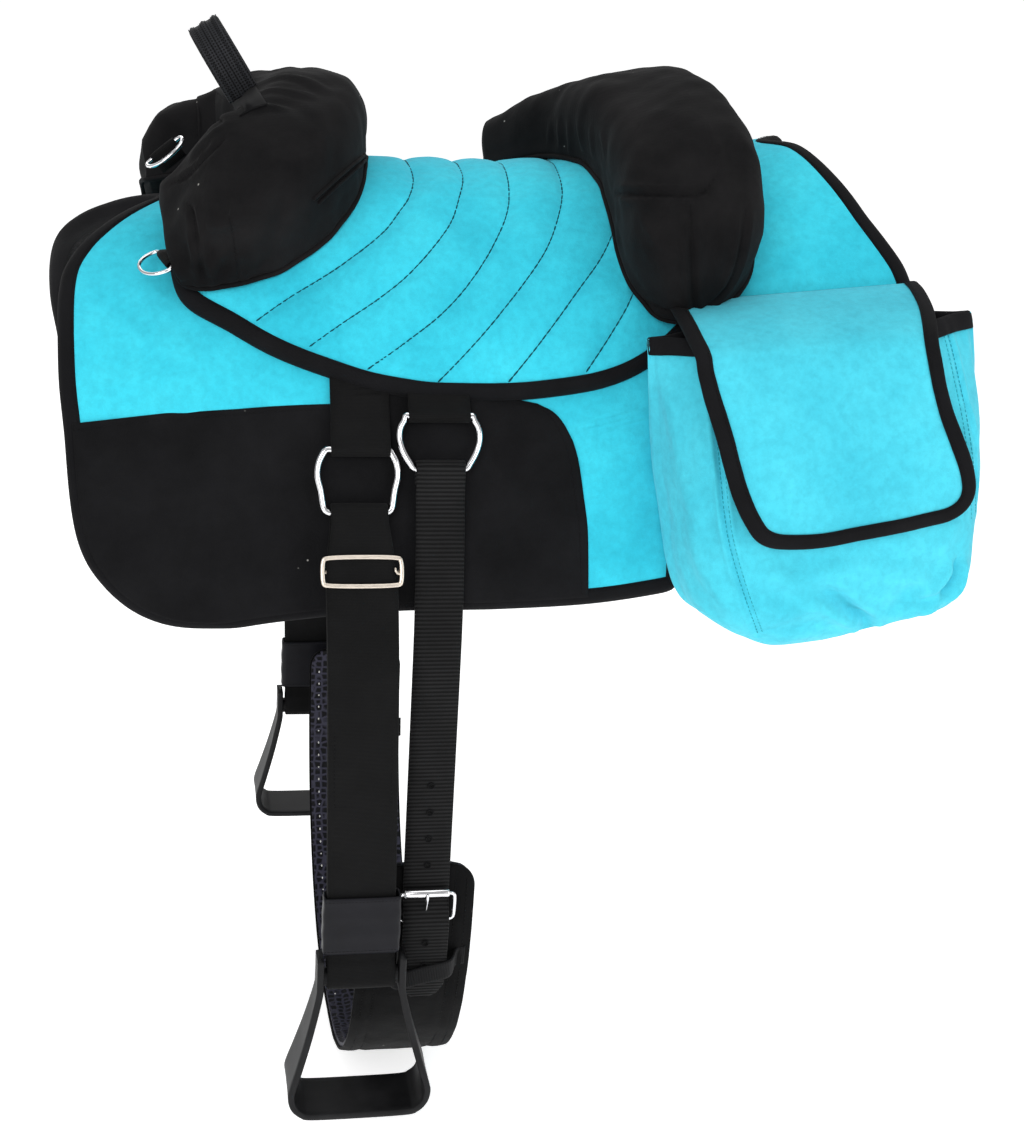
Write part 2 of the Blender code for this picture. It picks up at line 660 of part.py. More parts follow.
def plate_mesh(loops, thickness, matrix):
    """Flat plate with holes: a filled 2D curve, extruded and placed."""
    cu = bpy.data.curves.new("plate", 'CURVE')
    cu.dimensions = '2D'
    cu.fill_mode = 'BOTH'
    cu.extrude = thickness / 2
    for loop in loops:
        sp = cu.splines.new('POLY')
        sp.points.add(len(loop) - 1)
        for p, q in zip(sp.points, loop):
            p.co = (q[0], q[1], 0, 1)
        sp.use_cyclic_u = True
    tmp = bpy.data.objects.new("plate", cu)
    bpy.context.scene.collection.objects.link(tmp)
    bpy.context.view_layer.update()
    me = bpy.data.meshes.new_from_object(tmp.evaluated_get(bpy.context.evaluated_depsgraph_get()))
    bpy.data.objects.remove(tmp, do_unlink=True)
    bm = bmesh.new()
    bm.from_mesh(me)
    bmesh.ops.remove_doubles(bm, verts=bm.verts, dist=0.01)
    bmesh.ops.recalc_face_normals(bm, faces=bm.faces)
    bmesh.ops.transform(bm, matrix=matrix, verts=bm.verts)
    bm.to_mesh(me)
    bm.free()
    me.materials.clear()
    return me


def basis(origin, ax, ay, az):
    m = Matrix((ax, ay, az)).transposed().to_4x4()
    m.translation = Vector(origin)
    return m


TONGUE_SLOT = ((BILLET_X - 3.2, -292, -653), (BILLET_X + 3.2, -272.0, -621))

for side, far in (("near", NEAR), ("far", FAR)):
    loop = strap_loop()
    o = add("stirrup_strap_" + side,
            grid_mesh(transpose([[(strap_x(z) + k * strap_half(z), y, z) for y, z in loop] for k in (-1, 1)]),
                      cyclic=True), WEBBING, "strap_" + side, far)
    solidify(o, WEB_T, 0)

    # adjuster slide: front frame joined to a rear bar between the two layers
    t, n = strap_normal(2)
    mid = Vector((strap_x(STRAP_MID[2][1]), STRAP_MID[2][0], STRAP_MID[2][1]))
    front_frame = plate_mesh([[(-37, -15), (37, -15), (37, 15), (-37, 15)],
                              [(-33.2, -10.8), (33.2, -10.8), (33.2, 10.8), (-33.2, 10.8)]], 2.6,
                             basis(mid + n * 7.0, (1, 0, 0), -t, n))
    rear = plate_mesh([[(-36.6, 7.6), (-36.6, -1.1), (36.6, -1.1), (36.6, 7.6), (33.7, 7.6), (33.7, 1.1),
                        (-33.7, 1.1), (-33.7, 7.6)]], 4.6, basis(mid, (1, 0, 0), n, t))
    o = add("slide_buckle_" + side, front_frame, NICKEL, "slide_" + side, far)
    join(o, add("slide_bar_" + side, rear, None, "slide_" + side, far, cutter=True))

    # keeper sleeve round both layers above the stirrup
    ky0, ky1, kx = STRAP_Y - 7.6, STRAP_Y + 7.6, WEB_64 / 2 + 3.2
    ring = [(STIRRUP_X - 1 + a, b) for a, b in ((-kx, ky0), (-kx, ky1), (kx, ky1), (kx, ky0))]
    pts = [[(x, y, z) for z in (-657, -598)] for x, y in ring]
    o = add("keeper_sleeve_" + side, grid_mesh(pts, cyclic=True), LEATHER, "keeper_" + side, far)
    solidify(o, 2.0, 0)

    # stirrup: moulded band from arm top round the tread to the other arm top
    cx = STIRRUP_X
    half = [(38.6, -670, 24), (38.6, -694, 25), (39.5, -708, 28), (48.0, -745, 40), (58.5, -784, 52),
            (66.0, -808, 59), (65.5, -818, 61), (60.0, -825.5, 62), (50.0, -828, 62)]
    lift = STIRRUP_BOLT_Z + 692
    half = [(a, z + lift, d) for a, z, d in half]
    prof = [(-a, z, d) for a, z, d in half] + [(a, z, d) for a, z, d in half[::-1]]
    pts = [[(cx + a, STRAP_Y + sgn * d / 2, z) for a, z, d in prof] for sgn in (1, -1)]
    o = add("stirrup_" + side, grid_mesh(pts), PLASTIC, "stirrup_" + side, far)
    solidify(o, 6.5, 0)
    add("stirrup_bolt_" + side, rod_mesh((cx - 34.9, STRAP_Y, STIRRUP_BOLT_Z), (cx + 34.9, STRAP_Y, STIRRUP_BOLT_Z),
                                         9.0, 16), PLASTIC, "stirrup_" + side, far)

# ---------------------------------------------------------------- girth loop


def girth_curve(offset, n=15, y_cut=None):
    """Hanging loop from the near end to the far end, offset outward."""
    pts = []
    for k in range(2 * n + 1):
        a = math.pi * k / (2 * n)
        c, s = math.cos(a), math.sin(a)
        y = -GIRTH_HALF * math.copysign(abs(c) ** (2 / GIRTH_POWER), c)
        z = GIRTH_TOP_Z - GIRTH_DROP * abs(s) ** (2 / GIRTH_POWER)
        pts.append(Vector((0, y, z)))
    pts = [Vector((0, -GIRTH_HALF, GIRTH_TOP_Z + 8))] + pts + [Vector((0, GIRTH_HALF, GIRTH_TOP_Z + 8))]
    out = []
    for k, p in enumerate(pts):
        t = (pts[min(k + 1, len(pts) - 1)] - pts[max(k - 1, 0)]).normalized()
        nrm = Vector((0, t.z, -t.y))
        out.append((p.y + nrm.y * offset, p.z + nrm.z * offset))
    return out


solidify(add("girth_band", grid_mesh(strip(girth_curve(2.0), GIRTH_X - GIRTH_W / 2, GIRTH_X + GIRTH_W / 2)),
             CANVAS, "girth"), 3.4, 0)
solidify(add("girth_neoprene", grid_mesh(strip(girth_curve(-2.8), GIRTH_X - GIRTH_W / 2 + 2, GIRTH_X + GIRTH_W / 2 - 2)),
             NEOPRENE, "girth"), 5.0, 0)

GL_Y, GL_Z = RING_G_LOW[1], RING_G_LOW[2]
BILLET_PATH = [(GL_Y - 9.0, GL_Z - 26), (-259.5, -266), (-266.0, -298), (-271.5, -335),
               (-273.4, -370), (-273.6, -440), (-273.6, -520), (-273.4, -600), (-273.4, -616),
               (-275.4, -627), (-281.4, -638), (-284.6, -647), (-284.0, -660), (-280.6, -690),
               (-275.0, -715), (-268.0, -738)]
for side, far in (("near", NEAR), ("far", FAR)):
    r = RING_WIRE / 2 + LOOP_PLAY + WEB_T / 2
    lead = math.degrees(math.atan2(-26, -9.0))
    hook = arc(GL_Y, GL_Z, r, lead + 82, lead + 275, 9)
    d = Vector((math.cos(math.radians(lead)), math.sin(math.radians(lead))))
    tail = Vector(hook[0]) + d * 13 + Vector((-1.0, 0.2))
    path = [tuple(tail)] + hook + BILLET_PATH
    o = add("billet_" + side, grid_mesh(strip(path, BILLET_X - WEB_44 / 2, BILLET_X + WEB_44 / 2)),
            WEBBING, "girth", far)
    solidify(o, WEB_T, 0)
    slot = add("tongue_slot_" + side, box_mesh(*TONGUE_SLOT), None, "girth", far, cutter=True)
    cut(o, slot)

    # roller buckle: wire frame, roller on its top bar, tongue on its low bar
    def fy(z):
        return ROLLER_Y + (z - ROLLER_Z) / (PIVOT_BAR_Z - ROLLER_Z) * (PIVOT_BAR_Y - ROLLER_Y)
    w = 27.0
    frame = []
    for a, z in ((w - 5, ROLLER_Z), (w - 1.2, ROLLER_Z - 1.2), (w, ROLLER_Z - 5), (w, PIVOT_BAR_Z + 5),
                 (w - 1.2, PIVOT_BAR_Z + 1.2), (w - 5, PIVOT_BAR_Z)):
        frame.append((BILLET_X + a, fy(z), z))
    frame = frame + [(2 * BILLET_X - x, y, z) for x, y, z in frame[::-1]]
    add("buckle_frame_" + side, wire_mesh(frame, 2.0, sides=1), CHROME, "girth", far)
    tube = rod_mesh((BILLET_X - 21.5, ROLLER_Y, ROLLER_Z), (BILLET_X + 21.5, ROLLER_Y, ROLLER_Z), 3.7, 16)
    o = add("buckle_roller_" + side, tube, CHROME, "roller_" + side, far)
    bore = add("roller_bore_" + side, rod_mesh((BILLET_X - 25, ROLLER_Y, ROLLER_Z), (BILLET_X + 25, ROLLER_Y, ROLLER_Z), 2.5, 16),
               None, "roller_" + side, far, cutter=True)
    cut(o, bore)
    eye = [(BILLET_X, y, z) for y, z in arc(PIVOT_BAR_Y, PIVOT_BAR_Z, 2.0 + 0.4 + 1.5, -170, 60, 9)]
    eye = eye + [(BILLET_X, PIVOT_BAR_Y - 1.2, PIVOT_BAR_Z + 8), (BILLET_X, PIVOT_BAR_Y - 5.0, PIVOT_BAR_Z + 17),
                 (BILLET_X, ROLLER_Y - 5.7, PIVOT_BAR_Z + 26), (BILLET_X, ROLLER_Y - 5.9, ROLLER_Z + 1.5)]
    add("buckle_tongue_" + side, wire_mesh(eye, 1.5, cyclic=False, sides=1), CHROME, "tongue_" + side, far)

    # elastic keeper that holds the billet's end to the girth
    kz = -706.0
    pts = []
    for x, lift in ((GIRTH_X - 50, 0), (BILLET_X - 31, 0), (BILLET_X - 25, 1), (BILLET_X + 25, 1),
                    (BILLET_X + 31, 0), (GIRTH_X + 50, 0)):
        row = []
        for z in (kz + 11, kz - 11):
            gy = -GIRTH_HALF * (1 - ((GIRTH_TOP_Z - z) / GIRTH_DROP) ** GIRTH_POWER) ** (1 / GIRTH_POWER)
            top_y = interp(-z, [(-b, a) for a, b in BILLET_PATH[-5:]]) - 3.4
            row.append((x, top_y if lift else gy - 5.8, z))
        pts.append(row)
    o = add("elastic_keeper_" + side, grid_mesh(pts), WEBBING, "girth", far)
    solidify(o, 1.6, 0)

# ---------------------------------------------------------------- saddle bags
BAG_PLAN = [(-1.00, 0.0), (-1.00, 0.28), (-0.96, 0.55), (-0.86, 0.80), (-0.70, 0.95), (-0.35, 1.0),
            (0.35, 1.0), (0.70, 0.95), (0.86, 0.80), (0.96, 0.55), (1.00, 0.28), (1.00, 0.0),
            (0.5, -0.02), (0.0, -0.03), (-0.5, -0.02)]
# height, centre x, half width, back y, front y
BAG_STATIONS = [(-352, 278, 34, -286, -304), (-341, 282, 66, -281, -322), (-325, 287, 98, -275, -334),
                (-306, 291, 124, -270, -341), (-268, 293, 139, -260, -345), (-205, 290, 145, -245, -340),
                (-142, 284, 148, -229, -321), (-96, 279, 146, -212, -298)]


def bag_points():
    out = []
    for a, b in BAG_PLAN:
        line = []
        for z, cx, hw, yb, yf in BAG_STATIONS:
            zz = z + 0.10 * (a * hw) * (1 if z > -300 else 0.55)
            line.append((cx + a * hw, yb + (yf - yb) * b, zz))
        out.append(line)
    return out


for side, far in (("near", NEAR), ("far", FAR)):
    o = add("bag_pouch_" + side, grid_mesh(bag_points(), cyclic=True, cap_start=True), SUEDE, "root", far)
    solidify(o, 2.6, -1)
    # flap: from the seam on the pad, over the mouth and down the front
    top_rows = [(-190.5, -50, 177, 389), (-214, -52, 172, 386), (-252, -58, 165, 383), (-290, -70, 157, 380),
                (-296, -74, 156, 380)]
    front_rows = [(-299.5, -77, 156, 380), (-313, -95, 158, 380), (-336, -146, 170, 388),
                  (-348.5, -198, 184, 402), (-351, -226, 204, 400), (-351.5, -239, 232, 380)]
    for name, carrier, rows in (("bag_flap_top_", "flap_top_", top_rows), ("bag_flap_", "flap_", front_rows)):
        pts = []
        for i in range(9):
            line = []
            for y, z, xa, xb in rows:
                x = xa + (xb - xa) * i / 8
                line.append((x, y, z + 0.10 * (x - 284)))
            pts.append(line)
        solidify(add(name + side, grid_mesh(pts), SUEDE, carrier + side, far), 3.0, 0)

# ---------------------------------------------------------------- small rings on the pommel


def small_ring(centre, axis_x, down, width=40.0, wire=3.2):
    """D-shaped ring hanging from a bar at its centre point."""
    c, ax, dn = Vector(centre), Vector(axis_x).normalized(), Vector(down)
    dn = (dn - ax * dn.dot(ax)).normalized()
    half = [(width / 2 - 4, 0.0), (width / 2 - 0.5, 1.5), (width / 2, 6.0)]
    arcp = [(width / 2 * math.cos(math.radians(k)), 8 + (width * 0.42) * math.sin(math.radians(k)))
            for k in (0, 25, 50, 75)]
    right = half + arcp
    loop = right + [(-a, b) for a, b in right[::-1]]
    return [c + ax * a + dn * b for a, b in loop]


UPPER = ((-301.0, -58.0, 42.0), (-0.77, -0.08, -0.63), (0.20, -0.97, -0.10))
LOWER = ((-300.0, -139.0, -43.0), (-0.30, 0.88, 0.20), (-0.81, -0.43, -0.40))
for side, far in (("near", NEAR), ("far", FAR)):
    for nm, (c, ax, dn) in (("upper", UPPER), ("lower", LOWER)):
        if nm == "upper" and far:
            continue
        c = Vector(c)
        cc = Vector((c.x + (-18 if far else 0), c.y * (-1 if far else 1), c.z))
        body("pommel_ring_%s_%s" % (nm, side), cc, "root")
        pts = small_ring((cc.x, -abs(cc.y), cc.z), ax, dn)
        add("pommel_ring_%s_%s" % (nm, side), wire_mesh(pts, 1.6, sides=1), CHROME,
            "pommel_ring_%s_%s" % (nm, side), far)
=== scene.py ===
"""Looks of the bareback pad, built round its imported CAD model.

Frame: +X to the tail, -X to the withers, -Y the near side, +Z up.  Lengths in
the code are millimetres until a mesh is made, which is in metres.
"""

import math
import bpy
import numpy as np
from mathutils import Matrix, Vector
from mathutils.bvhtree import BVHTree


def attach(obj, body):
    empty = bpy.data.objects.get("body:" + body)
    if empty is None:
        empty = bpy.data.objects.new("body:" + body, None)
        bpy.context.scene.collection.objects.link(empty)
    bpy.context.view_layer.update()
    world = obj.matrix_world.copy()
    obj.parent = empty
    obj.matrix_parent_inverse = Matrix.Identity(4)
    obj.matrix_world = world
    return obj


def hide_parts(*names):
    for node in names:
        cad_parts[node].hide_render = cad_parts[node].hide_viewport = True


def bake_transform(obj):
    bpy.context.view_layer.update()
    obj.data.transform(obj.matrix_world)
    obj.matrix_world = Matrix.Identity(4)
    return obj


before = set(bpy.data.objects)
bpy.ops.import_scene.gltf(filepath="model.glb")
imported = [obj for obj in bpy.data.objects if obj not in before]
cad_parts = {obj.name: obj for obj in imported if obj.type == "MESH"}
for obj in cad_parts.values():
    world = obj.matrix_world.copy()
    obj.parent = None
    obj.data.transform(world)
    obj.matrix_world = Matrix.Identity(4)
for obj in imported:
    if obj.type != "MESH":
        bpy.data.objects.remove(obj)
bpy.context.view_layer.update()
MM = 0.001
scene = bpy.context.scene

# ------------------------------------------------------------------ camera, lights, world
CAM_AZ, CAM_PITCH, CAM_ROLL = math.radians(-11.2), math.radians(20.0), math.radians(3.5)
CAM_AT = Vector((0.0, -0.300, -0.276))
CAM_DIST = 1.683
back = Vector((math.sin(CAM_AZ) * math.cos(CAM_PITCH), -math.cos(CAM_AZ) * math.cos(CAM_PITCH),
               math.sin(CAM_PITCH)))
right0 = Vector((math.cos(CAM_AZ), math.sin(CAM_AZ), 0.0))
up0 = back.cross(right0)
right = right0 * math.cos(CAM_ROLL) + up0 * math.sin(CAM_ROLL)
up = up0 * math.cos(CAM_ROLL) - right0 * math.sin(CAM_ROLL)
cam_data = bpy.data.cameras.new("camera")
cam_data.sensor_width = 36.0
cam_data.lens = 36.0 * 1900.0 / 1129.0
cam_data.clip_end = 50
cam = bpy.data.objects.new("camera", cam_data)
scene.collection.objects.link(cam)
rot = Matrix((right, up, back)).transposed()
cam.matrix_world = Matrix.Translation(CAM_AT + back * CAM_DIST) @ rot.to_4x4()
scene.camera = cam


def area_light(name, at, look, size, power, colour=(1, 1, 1)):
    d = bpy.data.lights.new(name, 'AREA')
    d.shape = 'RECTANGLE'
    d.size, d.size_y = size
    d.energy = power
    d.color = colour
    o = bpy.data.objects.new(name, d)
    scene.collection.objects.link(o)
    o.matrix_world = (Matrix.Translation(at)
                      @ (Vector(at) - Vector(look)).to_track_quat('Z', 'Y').to_matrix().to_4x4())
    return o


area_light("key", (-1.6, -3.4, 1.5), (0, -0.1, -0.3), (2.4, 2.4), 70)
area_light("fill", (2.6, -2.9, 0.6), (0, -0.1, -0.3), (2.0, 2.4), 34)
area_light("top", (0.3, -0.2, 2.6), (0, 0, 0), (2.6, 2.6), 29)
area_light("rear", (-0.5, 3.2, 1.6), (0, 0, -0.3), (2.6, 1.8), 24)

world = bpy.data.worlds.new("studio")
world.use_nodes = True
world.node_tree.nodes["Background"].inputs[0].default_value = (1, 1, 1, 1)
world.node_tree.nodes["Background"].inputs[1].default_value = 0.46
scene.world = world
scene.view_settings.view_transform = 'Standard'
scene.view_settings.look = 'None'
scene.view_settings.exposure = 0.0
scene.view_settings.gamma = 1.0

# ------------------------------------------------------------------ materials


def new_mat(name):
    m = bpy.data.materials.new(name)
    m.use_nodes = True
    nt = m.node_tree
    return m, nt, nt.nodes["Principled BSDF"]


def node(nt, kind, **inputs):
    n = nt.nodes.new(kind)
    for k, v in inputs.items():
        if k.startswith("_"):
            setattr(n, k[1:], v)
        else:
            n.inputs[k.replace("_", " ")].default_value = v
    return n


def link(nt, a, ao, b, bi):
    nt.links.new(a.outputs[ao], b.inputs[bi])


def ramp(nt, pos_cols, interp='LINEAR'):
    r = nt.nodes.new("ShaderNodeValToRGB")
    r.color_ramp.interpolation = interp
    els = r.color_ramp.elements
    while len(els) < len(pos_cols):
        els.new(0.5)
    for e, (p, c) in zip(els, pos_cols):
        e.position = p
        e.color = (*c, 1) if len(c) == 3 else c
    return r


def coords(nt, uv=False, scale=(1, 1, 1)):
    tc = nt.nodes.new("ShaderNodeTexCoord")
    mp = nt.nodes.new("ShaderNodeMapping")
    mp.inputs["Scale"].default_value = scale
    nt.links.new(tc.outputs["UV" if uv else "Object"], mp.inputs["Vector"])
    return mp


def bump_chain(nt, b, layers):
    """layers: (height node, output, distance in metres, strength); stacked bumps."""
    prev = None
    for n, out, dist, strength in layers:
        bp = nt.nodes.new("ShaderNodeBump")
        bp.inputs["Distance"].default_value = dist
        bp.inputs["Strength"].default_value = strength
        nt.links.new(n.outputs[out], bp.inputs["Height"])
        if prev:
            nt.links.new(prev.outputs["Normal"], bp.inputs["Normal"])
        prev = bp
    nt.links.new(prev.outputs["Normal"], b.inputs["Normal"])


def noise(nt, vec, scale, detail=3.0, rough=0.55, distortion=0.0):
    n = node(nt, "ShaderNodeTexNoise", Scale=scale, Detail=detail, Roughness=rough, Distortion=distortion)
    nt.links.new(vec.outputs["Vector"], n.inputs["Vector"])
    return n


def mix_col(nt, fac, a, b):
    m = nt.nodes.new("ShaderNodeMix")
    m.data_type = 'RGBA'
    for sock, val in ((m.inputs["Factor"], fac), (m.inputs["A"], a), (m.inputs["B"], b)):
        pass
    if isinstance(fac, tuple):
        nt.links.new(fac[0].outputs[fac[1]], m.inputs[0])
    else:
        m.inputs[0].default_value = fac
    for idx, v in ((6, a), (7, b)):
        if isinstance(v, tuple) and hasattr(v[0], "outputs"):
            nt.links.new(v[0].outputs[v[1]], m.inputs[idx])
        else:
            m.inputs[idx].default_value = (*v, 1)
    return m


def suede(name, dark, mid, light):
    """Napped turquoise cloth: soft mottling, fine nap, a few brushed marks."""
    m, nt, b = new_mat(name)
    vec = coords(nt)
    big = noise(nt, vec, 9.0, 4.0, 0.6)
    r1 = ramp(nt, [(0.30, dark), (0.52, mid), (0.74, light)])
    link(nt, big, 0, r1, 0)
    mott = noise(nt, vec, 130.0, 4.0, 0.62)
    r2 = ramp(nt, [(0.32, (0.78, 0.80, 0.82)), (0.62, (1.06, 1.05, 1.04))])
    link(nt, mott, 0, r2, 0)
    mul = nt.nodes.new("ShaderNodeMix")
    mul.data_type = 'RGBA'
    mul.blend_type = 'MULTIPLY'
    mul.inputs[0].default_value = 0.55
    nt.links.new(r1.outputs[0], mul.inputs[6])
    nt.links.new(r2.outputs[0], mul.inputs[7])
    nap = noise(nt, vec, 1500.0, 2.0, 0.6)
    r3 = ramp(nt, [(0.30, (0.82, 0.84, 0.86)), (0.66, (1.05, 1.05, 1.05))])
    link(nt, nap, 0, r3, 0)
    mul2 = nt.nodes.new("ShaderNodeMix")
    mul2.data_type = 'RGBA'
    mul2.blend_type = 'MULTIPLY'
    mul2.inputs[0].default_value = 0.6
    nt.links.new(mul.outputs[2], mul2.inputs[6])
    nt.links.new(r3.outputs[0], mul2.inputs[7])
    nt.links.new(mul2.outputs[2], b.inputs["Base Color"])
    b.inputs["Roughness"].default_value = 0.93
    b.inputs["Specular IOR Level"].default_value = 0.18
    b.inputs["Sheen Weight"].default_value = 0.22
    b.inputs["Sheen Roughness"].default_value = 0.45
    b.inputs["Sheen Tint"].default_value = (0.55, 0.92, 1.0, 1)
    brush = noise(nt, coords(nt, scale=(1.0, 1.0, 0.35)), 240.0, 3.0, 0.6, 0.4)
    bump_chain(nt, b, [(mott, 0, 0.0009, 0.55), (brush, 0, 0.0004, 0.45), (nap, 0, 0.00022, 0.6)])
    return m


def cloth(name, col, col2, rough, weave_scale, weave_depth, lint=True, wrinkle=0.0012, uv=False, spec=0.07, sheen=0.02):
    """Plain-woven black cotton with lint specks and soft creases."""
    m, nt, b = new_mat(name)
    vec = coords(nt)
    v2 = coords(nt, uv=True) if uv else vec
    wx = node(nt, "ShaderNodeTexWave", Scale=weave_scale, Distortion=0.6, Detail=1.0)
    wx.bands_direction = 'X'
    wy = node(nt, "ShaderNodeTexWave", Scale=weave_scale, Distortion=0.6, Detail=1.0)
    wy.bands_direction = 'Y' if uv else 'Z'
    nt.links.new(v2.outputs["Vector"], wx.inputs["Vector"])
    nt.links.new(v2.outputs["Vector"], wy.inputs["Vector"])
    mx = nt.nodes.new("ShaderNodeMath")
    mx.operation = 'MAXIMUM'
    link(nt, wx, 1, mx, 0)
    link(nt, wy, 1, mx, 1)
    big = noise(nt, vec, 14.0, 4.0, 0.6)
    fade = ramp(nt, [(0.34, col), (0.70, col2)])
    link(nt, big, 0, fade, 0)
    last = (fade, 0)
    if lint:
        vo = node(nt, "ShaderNodeTexVoronoi", Scale=62.0, Randomness=1.0)
        nt.links.new(vec.outputs["Vector"], vo.inputs["Vector"])
        spot = ramp(nt, [(0.0, (1, 1, 1)), (0.045, (1, 1, 1)), (0.075, (0, 0, 0))])
        link(nt, vo, "Distance", spot, 0)
        pick = noise(nt, vec, 37.0, 1.0)
        pr = ramp(nt, [(0.60, (0, 0, 0)), (0.66, (1, 1, 1))])
        link(nt, pick, 0, pr, 0)
        both = nt.nodes.new("ShaderNodeMath")
        both.operation = 'MULTIPLY'
        link(nt, spot, 0, both, 0)
        link(nt, pr, 0, both, 1)
        mc = mix_col(nt, (both, 0), last, (0.36, 0.35, 0.33))
        last = (mc, 2)
    nt.links.new(last[0].outputs[last[1]], b.inputs["Base Color"])
    b.inputs["Roughness"].default_value = rough
    b.inputs["Specular IOR Level"].default_value = spec
    b.inputs["Sheen Weight"].default_value = sheen
    b.inputs["Sheen Roughness"].default_value = 0.5
    wr = noise(nt, vec, 42.0, 5.0, 0.58, 0.7)
    fuzz = noise(nt, vec, 900.0, 2.0)
    bump_chain(nt, b, [(wr, 0, wrinkle, 0.6), (mx, 0, weave_depth, 0.5), (fuzz, 0, 0.00015, 0.5)])
    return m


def webbing(name, col, col2, pitch, depth, rough=0.72, across=True, fine=0.0012):
    """Woven strap: ribs across its length and a fine yarn."""
    m, nt, b = new_mat(name)
    vec = coords(nt, uv=True)
    rib = node(nt, "ShaderNodeTexWave", Scale=math.pi / 10.0 / (pitch * MM), Distortion=0.15, Detail=0.0)
    rib.bands_direction = 'Y' if across else 'X'
    rib.wave_profile = 'SIN'
    yarn = node(nt, "ShaderNodeTexWave", Scale=math.pi / 10.0 / fine, Distortion=0.8, Detail=1.0)
    yarn.bands_direction = 'DIAGONAL'
    nt.links.new(vec.outputs["Vector"], rib.inputs["Vector"])
    nt.links.new(vec.outputs["Vector"], yarn.inputs["Vector"])
    r = ramp(nt, [(0.1, col), (0.9, col2)])
    link(nt, rib, 1, r, 0)
    ob = coords(nt)
    dirt = noise(nt, ob, 25.0, 4.0)
    rr = ramp(nt, [(0.35, (0.78, 0.78, 0.78)), (0.7, (1.15, 1.15, 1.15))])
    link(nt, dirt, 0, rr, 0)
    mul = nt.nodes.new("ShaderNodeMix")
    mul.data_type = 'RGBA'
    mul.blend_type = 'MULTIPLY'
    mul.inputs[0].default_value = 1.0
    nt.links.new(r.outputs[0], mul.inputs[6])
    nt.links.new(rr.outputs[0], mul.inputs[7])
    nt.links.new(mul.outputs[2], b.inputs["Base Color"])
    b.inputs["Roughness"].default_value = rough
    b.inputs["Specular IOR Level"].default_value = 0.09
    b.inputs["Sheen Weight"].default_value = 0.02
    bump_chain(nt, b, [(rib, 1, depth, 0.8), (yarn, 1, 0.00012, 0.5)])
    return m


def metal(name, col, rough, brushed=False):
    m, nt, b = new_mat(name)
    b.inputs["Metallic"].default_value = 1.0
    vec = coords(nt, scale=(1, 1, 1) if not brushed else (0.3, 1, 1))
    n = noise(nt, vec, 420.0 if brushed else 60.0, 4.0, 0.6)
    rr = ramp(nt, [(0.3, tuple(c * 0.86 for c in col)), (0.7, col)])
    link(nt, n, 0, rr, 0)
    link(nt, rr, 0, b, "Base Color")
    mr = nt.nodes.new("ShaderNodeMapRange")
    mr.inputs["To Min"].default_value = rough * 0.75
    mr.inputs["To Max"].default_value = rough * 1.4
    link(nt, n, 0, mr, "Value")
    link(nt, mr, 0, b, "Roughness")
    bump_chain(nt, b, [(n, 0, 0.00004 if brushed else 0.00002, 0.5)])
    return m


def plastic(name, col, rough, grain=700.0, depth=0.0001):
    m, nt, b = new_mat(name)
    vec = coords(nt)
    n = noise(nt, vec, grain, 3.0)
    big = noise(nt, vec, 22.0, 5.0, 0.65)
    rr = ramp(nt, [(0.35, col), (0.75, tuple(min(1, c * 1.9 + 0.004) for c in col))])
    link(nt, big, 0, rr, 0)
    link(nt, rr, 0, b, "Base Color")
    mr = nt.nodes.new("ShaderNodeMapRange")
    mr.inputs["To Min"].default_value = rough * 0.8
    mr.inputs["To Max"].default_value = rough * 1.25
    link(nt, big, 0, mr, "Value")
    link(nt, mr, 0, b, "Roughness")
    b.inputs["Specular IOR Level"].default_value = 0.16
    bump_chain(nt, b, [(big, 0, 0.0002, 0.3), (n, 0, depth, 0.5)])
    return m


def honeycomb(name):
    """Embossed hexagonal cells of the girth's neoprene lining."""
    m, nt, b = new_mat(name)
    vec = coords(nt, uv=True, scale=(1, 1, 1))
    vo = node(nt, "ShaderNodeTexVoronoi", Scale=125.0, Randomness=0.42)
    vo.feature = 'DISTANCE_TO_EDGE'
    nt.links.new(vec.outputs["Vector"], vo.inputs["Vector"])
    cell = ramp(nt, [(0.10, (1, 1, 1)), (0.24, (0, 0, 0))])
    link(nt, vo, "Distance", cell, 0)
    col = ramp(nt, [(0.0, (0.003, 0.003, 0.004)), (1.0, (0.034, 0.033, 0.050))])
    link(nt, cell, 0, col, 0)
    link(nt, col, 0, b, "Base Color")
    b.inputs["Roughness"].default_value = 0.55
    b.inputs["Specular IOR Level"].default_value = 0.12
    fine = noise(nt, coords(nt), 800.0, 2.0)
    bump_chain(nt, b, [(cell, 0, 0.0012, 0.9), (fine, 0, 0.0001, 0.4)])
    return m


def perforated(name):
    """Grip tape with rows of small punched dots."""
    m, nt, b = new_mat(name)
    vec = coords(nt, uv=True)
    vo = node(nt, "ShaderNodeTexVoronoi", Scale=370.0, Randomness=0.0)
    vo.voronoi_dimensions = '2D'
    nt.links.new(vec.outputs["Vector"], vo.inputs["Vector"])
    dot = ramp(nt, [(0.24, (0, 0, 0)), (0.36, (1, 1, 1))])
    link(nt, vo, "Distance", dot, 0)
    col = ramp(nt, [(0.0, (0.002, 0.002, 0.002)), (1.0, (0.020, 0.021, 0.024))])
    link(nt, dot, 0, col, 0)
    link(nt, col, 0, b, "Base Color")
    b.inputs["Roughness"].default_value = 0.6
    b.inputs["Specular IOR Level"].default_value = 0.12
    fine = noise(nt, coords(nt), 900.0, 2.0)
    bump_chain(nt, b, [(dot, 0, 0.0008, 0.7), (fine, 0, 0.0001, 0.4)])
    return m


